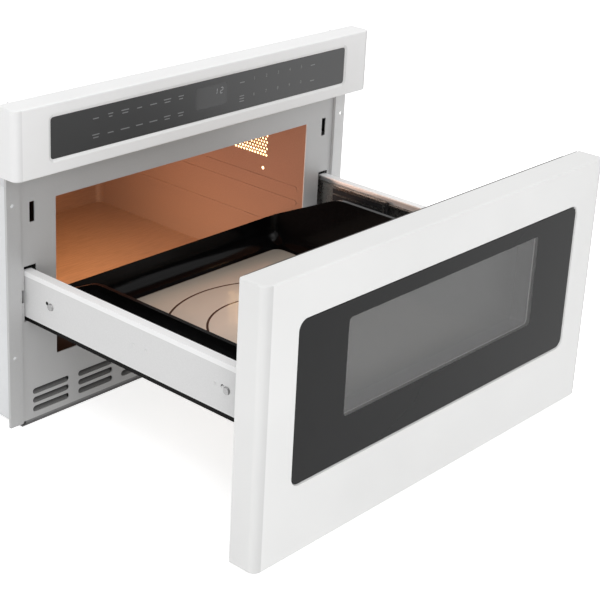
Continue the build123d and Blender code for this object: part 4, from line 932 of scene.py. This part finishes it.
# ------------------------------------------------------------------ seals, and painted shade beside the rails

# dark seal along the door's upper back edge, thinner where the flanges stand when it is shut
door_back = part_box("door_skin")[1].y
door_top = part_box("door_skin")[1].z
seal_z = (door_top - 4.0 * MM, door_top + 0.35 * MM)
seal_inner, seal_outer = 265.0 * MM, 296.0 * MM
thick_y = (door_back, door_back + 1.0 * MM)
thin_y = (door_back, door_back + 0.4 * MM)
seal = bmesh.new()
slab(seal, (-seal_inner, seal_inner), thick_y, seal_z)
slabs_on_both_sides(seal, ((seal_inner, seal_outer), thin_y, seal_z))
add_piece("door_top_seal", seal, silicone, "drawer")

# black sheets beside the rails, inside the casing: painted shade on the casing's inner walls there
case_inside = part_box("outer_case")[1].x - 0.9 * MM
side_shade_x = (case_inside, case_inside - 0.9 * MM)
side_shade_y = (3.0 * MM, 70.0 * MM)
side_shade_z = (132.0 * MM, 212.0 * MM)
side_shade = bmesh.new()
slabs_on_both_sides(side_shade, (side_shade_x, side_shade_y, side_shade_z))
add_piece("side_wall_shade", side_shade, rack_resin, "chassis")

# ------------------------------------------------------------------ trim and painted shade round the slides

# black strips along the middle members of the slides, painted shade in place of grooves, in bands
# of z in millimetres
web_low, web_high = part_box("slide_middle_right")
groove_bands = ((154.5, 158.5), (161.5, 168.0), (170.0, 178.5), (181.0, 187.5))
groove_x = (web_low.x, web_low.x - 0.25 * MM)
groove_y = (web_low.y + 4.0 * MM, web_low.y + 92.0 * MM)
groove_shades = bmesh.new()
slabs_on_both_sides(
    groove_shades, *((groove_x, groove_y, (low * MM, high * MM)) for low, high in groove_bands)
)
add_piece("slide_groove_shades", groove_shades, black_plastic, "slide_middles")

# end caps of the middle members
cap_x = (web_low.x - 0.5 * MM, web_low.x + 6.0 * MM)
cap_y = (web_low.y - 3.0 * MM, web_low.y - 0.05 * MM)
cap_z = (web_low.z + 1.0 * MM, web_high.z - 1.0 * MM)
caps = bmesh.new()
slabs_on_both_sides(caps, (cap_x, cap_y, cap_z))
add_piece("slide_caps", caps, black_plastic, "slide_middles")

# black slabs over the rails, just behind the rail holes of the plate: painted shade that darkens
# those holes
gap_x = (251.0 * MM, 266.0 * MM)
gap_y = (3.0 * MM, 9.0 * MM)
gap_z = (201.3 * MM, 206.9 * MM)
gap_shades = bmesh.new()
slabs_on_both_sides(gap_shades, (gap_x, gap_y, gap_z))
add_piece("rail_gap_shade", gap_shades, rack_resin, "chassis")

# rear part of the smooth black guard under the left rail
guard_x = (-266.0 * MM, -261.3 * MM)
guard_y = (-92.4 * MM, 28.0 * MM)
guard_z = (138.0 * MM, 142.95 * MM)
guard = bmesh.new()
slab(guard, guard_x, guard_y, guard_z)
add_piece("rack_guard_rear", guard, rack_resin, "drawer")

# ------------------------------------------------------------------ blades behind the louvres

louvre_x, louvre_group_step, louvre_groups = 87.5 * MM, 71.0 * MM, 3
louvre_z, louvre_pitch, louvre_rows = 17.5 * MM, 11.8 * MM, 3
blade_half_w = 27.0 * MM
blade_below, blade_above = 3.6 * MM, 3.4 * MM
blade_front = 1.2 * MM
blade_depth = 6.0 * MM
blade_sheet = Vector((0, 0.25 * MM, -0.6 * MM))


def make_louvre_shade():
    """Grey paint with painted shade that falls into darkness towards the top of each louvre row.
    """
    fade_height = 4.6 * MM
    finish = Finish("louvre_shade")
    fine = finish.noise(500.0, detail=3.0)
    above_first = finish.maths(
        "SUBTRACT", finish.axes(finish.place())["Z"], louvre_z - blade_below
    )
    rise = finish.maths("FLOORED_MODULO", above_first, louvre_pitch)
    paint = finish.mottle(fine, grey(0.20), grey(0.25))
    darkness = finish.fade(rise, 0.0, fade_height)
    finish.set("Base Color", finish.blend(darkness, paint, grey(0.01)))
    finish.set("Roughness", finish.spread(fine, (0.5, 0.65)))
    return finish.material


blades = bmesh.new()
for side in SIDES:
    for group in range(louvre_groups):
        x = side * (louvre_x + louvre_group_step * group)
        left, right = x - blade_half_w, x + blade_half_w
        for row in range(louvre_rows):
            z = louvre_z + louvre_pitch * row
            corners = (
                Vector((left, blade_front, z - blade_below)),
                Vector((right, blade_front, z - blade_below)),
                Vector((right, blade_front + blade_depth, z + blade_above)),
                Vector((left, blade_front + blade_depth, z + blade_above)),
            )
            front = [blades.verts.new(corner) for corner in corners]
            back = [blades.verts.new(corner + blade_sheet) for corner in corners]
            blades.faces.new(front)
            blades.faces.new(list(reversed(back)))
            bridge(blades, back, front)
add_piece("louvre_blades", blades, make_louvre_shade(), "chassis")

# ------------------------------------------------------------------ camera, solved from the photo

LONG_SIDE_PX = 602.0
SENSOR_MM = 36.0
FOCAL_PX = 1533.95
CAMERA_AZIMUTH = math.radians(48.1)
CAMERA_PITCH = math.radians(-21.02)
CAMERA_ROLL = math.radians(2.58)
CAMERA_PLACE = Vector((-1295.67, -1300.91, 894.88)) * MM
CAMERA_SHIFT = (0.05, -0.12)

camera_data = bpy.data.cameras.new("camera")
camera_data.lens = FOCAL_PX / LONG_SIDE_PX * SENSOR_MM
camera_data.sensor_width = SENSOR_MM
camera_data.shift_x, camera_data.shift_y = CAMERA_SHIFT
camera_data.clip_start, camera_data.clip_end = 0.05, 50.0
camera = bpy.data.objects.new("camera", camera_data)
bpy.context.scene.collection.objects.link(camera)
forward = Vector(
    (
        math.sin(CAMERA_AZIMUTH) * math.cos(CAMERA_PITCH),
        math.cos(CAMERA_AZIMUTH) * math.cos(CAMERA_PITCH),
        math.sin(CAMERA_PITCH),
    )
)
level_right = Vector((math.cos(CAMERA_AZIMUTH), -math.sin(CAMERA_AZIMUTH), 0.0))
level_up = level_right.cross(forward)
camera_right = level_right * math.cos(CAMERA_ROLL) + level_up * math.sin(CAMERA_ROLL)
camera_up = level_up * math.cos(CAMERA_ROLL) - level_right * math.sin(CAMERA_ROLL)
camera_turn = Matrix((camera_right, camera_up, -forward)).transposed().to_4x4()
camera.matrix_world = Matrix.Translation(CAMERA_PLACE) @ camera_turn
bpy.context.scene.camera = camera

# ------------------------------------------------------------------ lights

WARM = (1.0, 0.60, 0.32)
PALE_WARM = (1.0, 0.70, 0.56)
CAVITY_SPREAD = math.radians(130)


def area_light(name, place, target, size, power, colour=WHITE):
    """A rectangular light at a place, facing its target. Its power is in watts."""
    data = bpy.data.lights.new(name, "AREA")
    data.shape = "RECTANGLE"
    data.size, data.size_y = size
    data.energy = power
    data.color = colour
    light = bpy.data.objects.new(name, data)
    bpy.context.scene.collection.objects.link(light)
    aim = (Vector(target) - Vector(place)).normalized()
    turn = aim.to_track_quat("-Z", "Y").to_matrix().to_4x4()
    light.matrix_world = Matrix.Translation(place) @ turn
    light.visible_camera = False
    return light


area_light("key", (-1.5, -2.75, 2.1), (0, -0.2, 0.2), (2.2, 2.2), 27.0)
area_light("top", (0.1, -0.1, 2.9), (0, -0.1, 0.2), (3.0, 3.0), 29.5)
area_light("fill", (2.4, -2.2, 1.2), (0, -0.2, 0.2), (1.6, 1.6), 1.5)
area_light("low_left", (-2.2, -1.9, 0.35), (0, -0.1, 0.10), (1.8, 0.7), 12.0)

# the cavity's own lamp, and the light that its walls return
cavity_lights = (
    area_light("lamp", (0.0, 0.24, 0.275), (0.0, 0.26, 0.0), (0.34, 0.16), 0.45, WARM),
    area_light("lamp_side", (0.12, 0.14, 0.22), (-0.18, 0.36, 0.12), (0.05, 0.05), 0.15, WARM),
    area_light(
        "lamp_return", (-0.17, 0.16, 0.20), (0.22, 0.05, 0.15), (0.14, 0.14), 1.1, PALE_WARM
    ),
)
for lamp in cavity_lights:
    lamp.visible_glossy = False
    lamp.data.spread = CAVITY_SPREAD

# ------------------------------------------------------------------ background and floor

AMBIENT_STRENGTH = 0.56
FLOOR_GLOW = 0.72  # lifts the floor's tone where it is seen, and lights nothing
FLOOR_GAP = 0.5 * MM
FLOOR_HALF = 14.0

world = bpy.data.worlds.new("studio")
bpy.context.scene.world = world
world.use_nodes = True
sky = Nodes(world.node_tree)
sky_output = sky.add("ShaderNodeOutputWorld")
choose = sky.add("ShaderNodeMixShader")
ambient = sky.add("ShaderNodeBackground")
sky.feed(ambient.inputs["Color"], grey(0.98))
sky.feed(ambient.inputs["Strength"], AMBIENT_STRENGTH)
plain = sky.add("ShaderNodeBackground")
sky.feed(plain.inputs["Color"], WHITE)
sky.feed(plain.inputs["Strength"], 1.0)
sky.feed(choose.inputs[0], sky.seen())
sky.feed(choose.inputs[1], ambient.outputs[0])
sky.feed(choose.inputs[2], plain.outputs[0])
sky.feed(sky_output.inputs[0], choose.outputs[0])

pale_floor = Finish("pale_floor")
floor_tone = pale_floor.noise(1.5)
pale_floor.set("Base Color", pale_floor.blend(floor_tone, grey(0.93), grey(0.95)))
pale_floor.set("Roughness", 0.8)
pale_floor.set("Specular IOR Level", 0.1)
pale_floor.set("Emission Color", WHITE)
pale_floor.set("Emission Strength", pale_floor.maths("MULTIPLY", pale_floor.seen(), FLOOR_GLOW))
floor_mesh = bmesh.new()
bmesh.ops.create_grid(floor_mesh, x_segments=4, y_segments=4, size=FLOOR_HALF)
floor = mesh_object("floor", floor_mesh, pale_floor.material)
floor.location.z = cad_box[0].z - FLOOR_GAP

bpy.context.scene.view_settings.view_transform = "Standard"
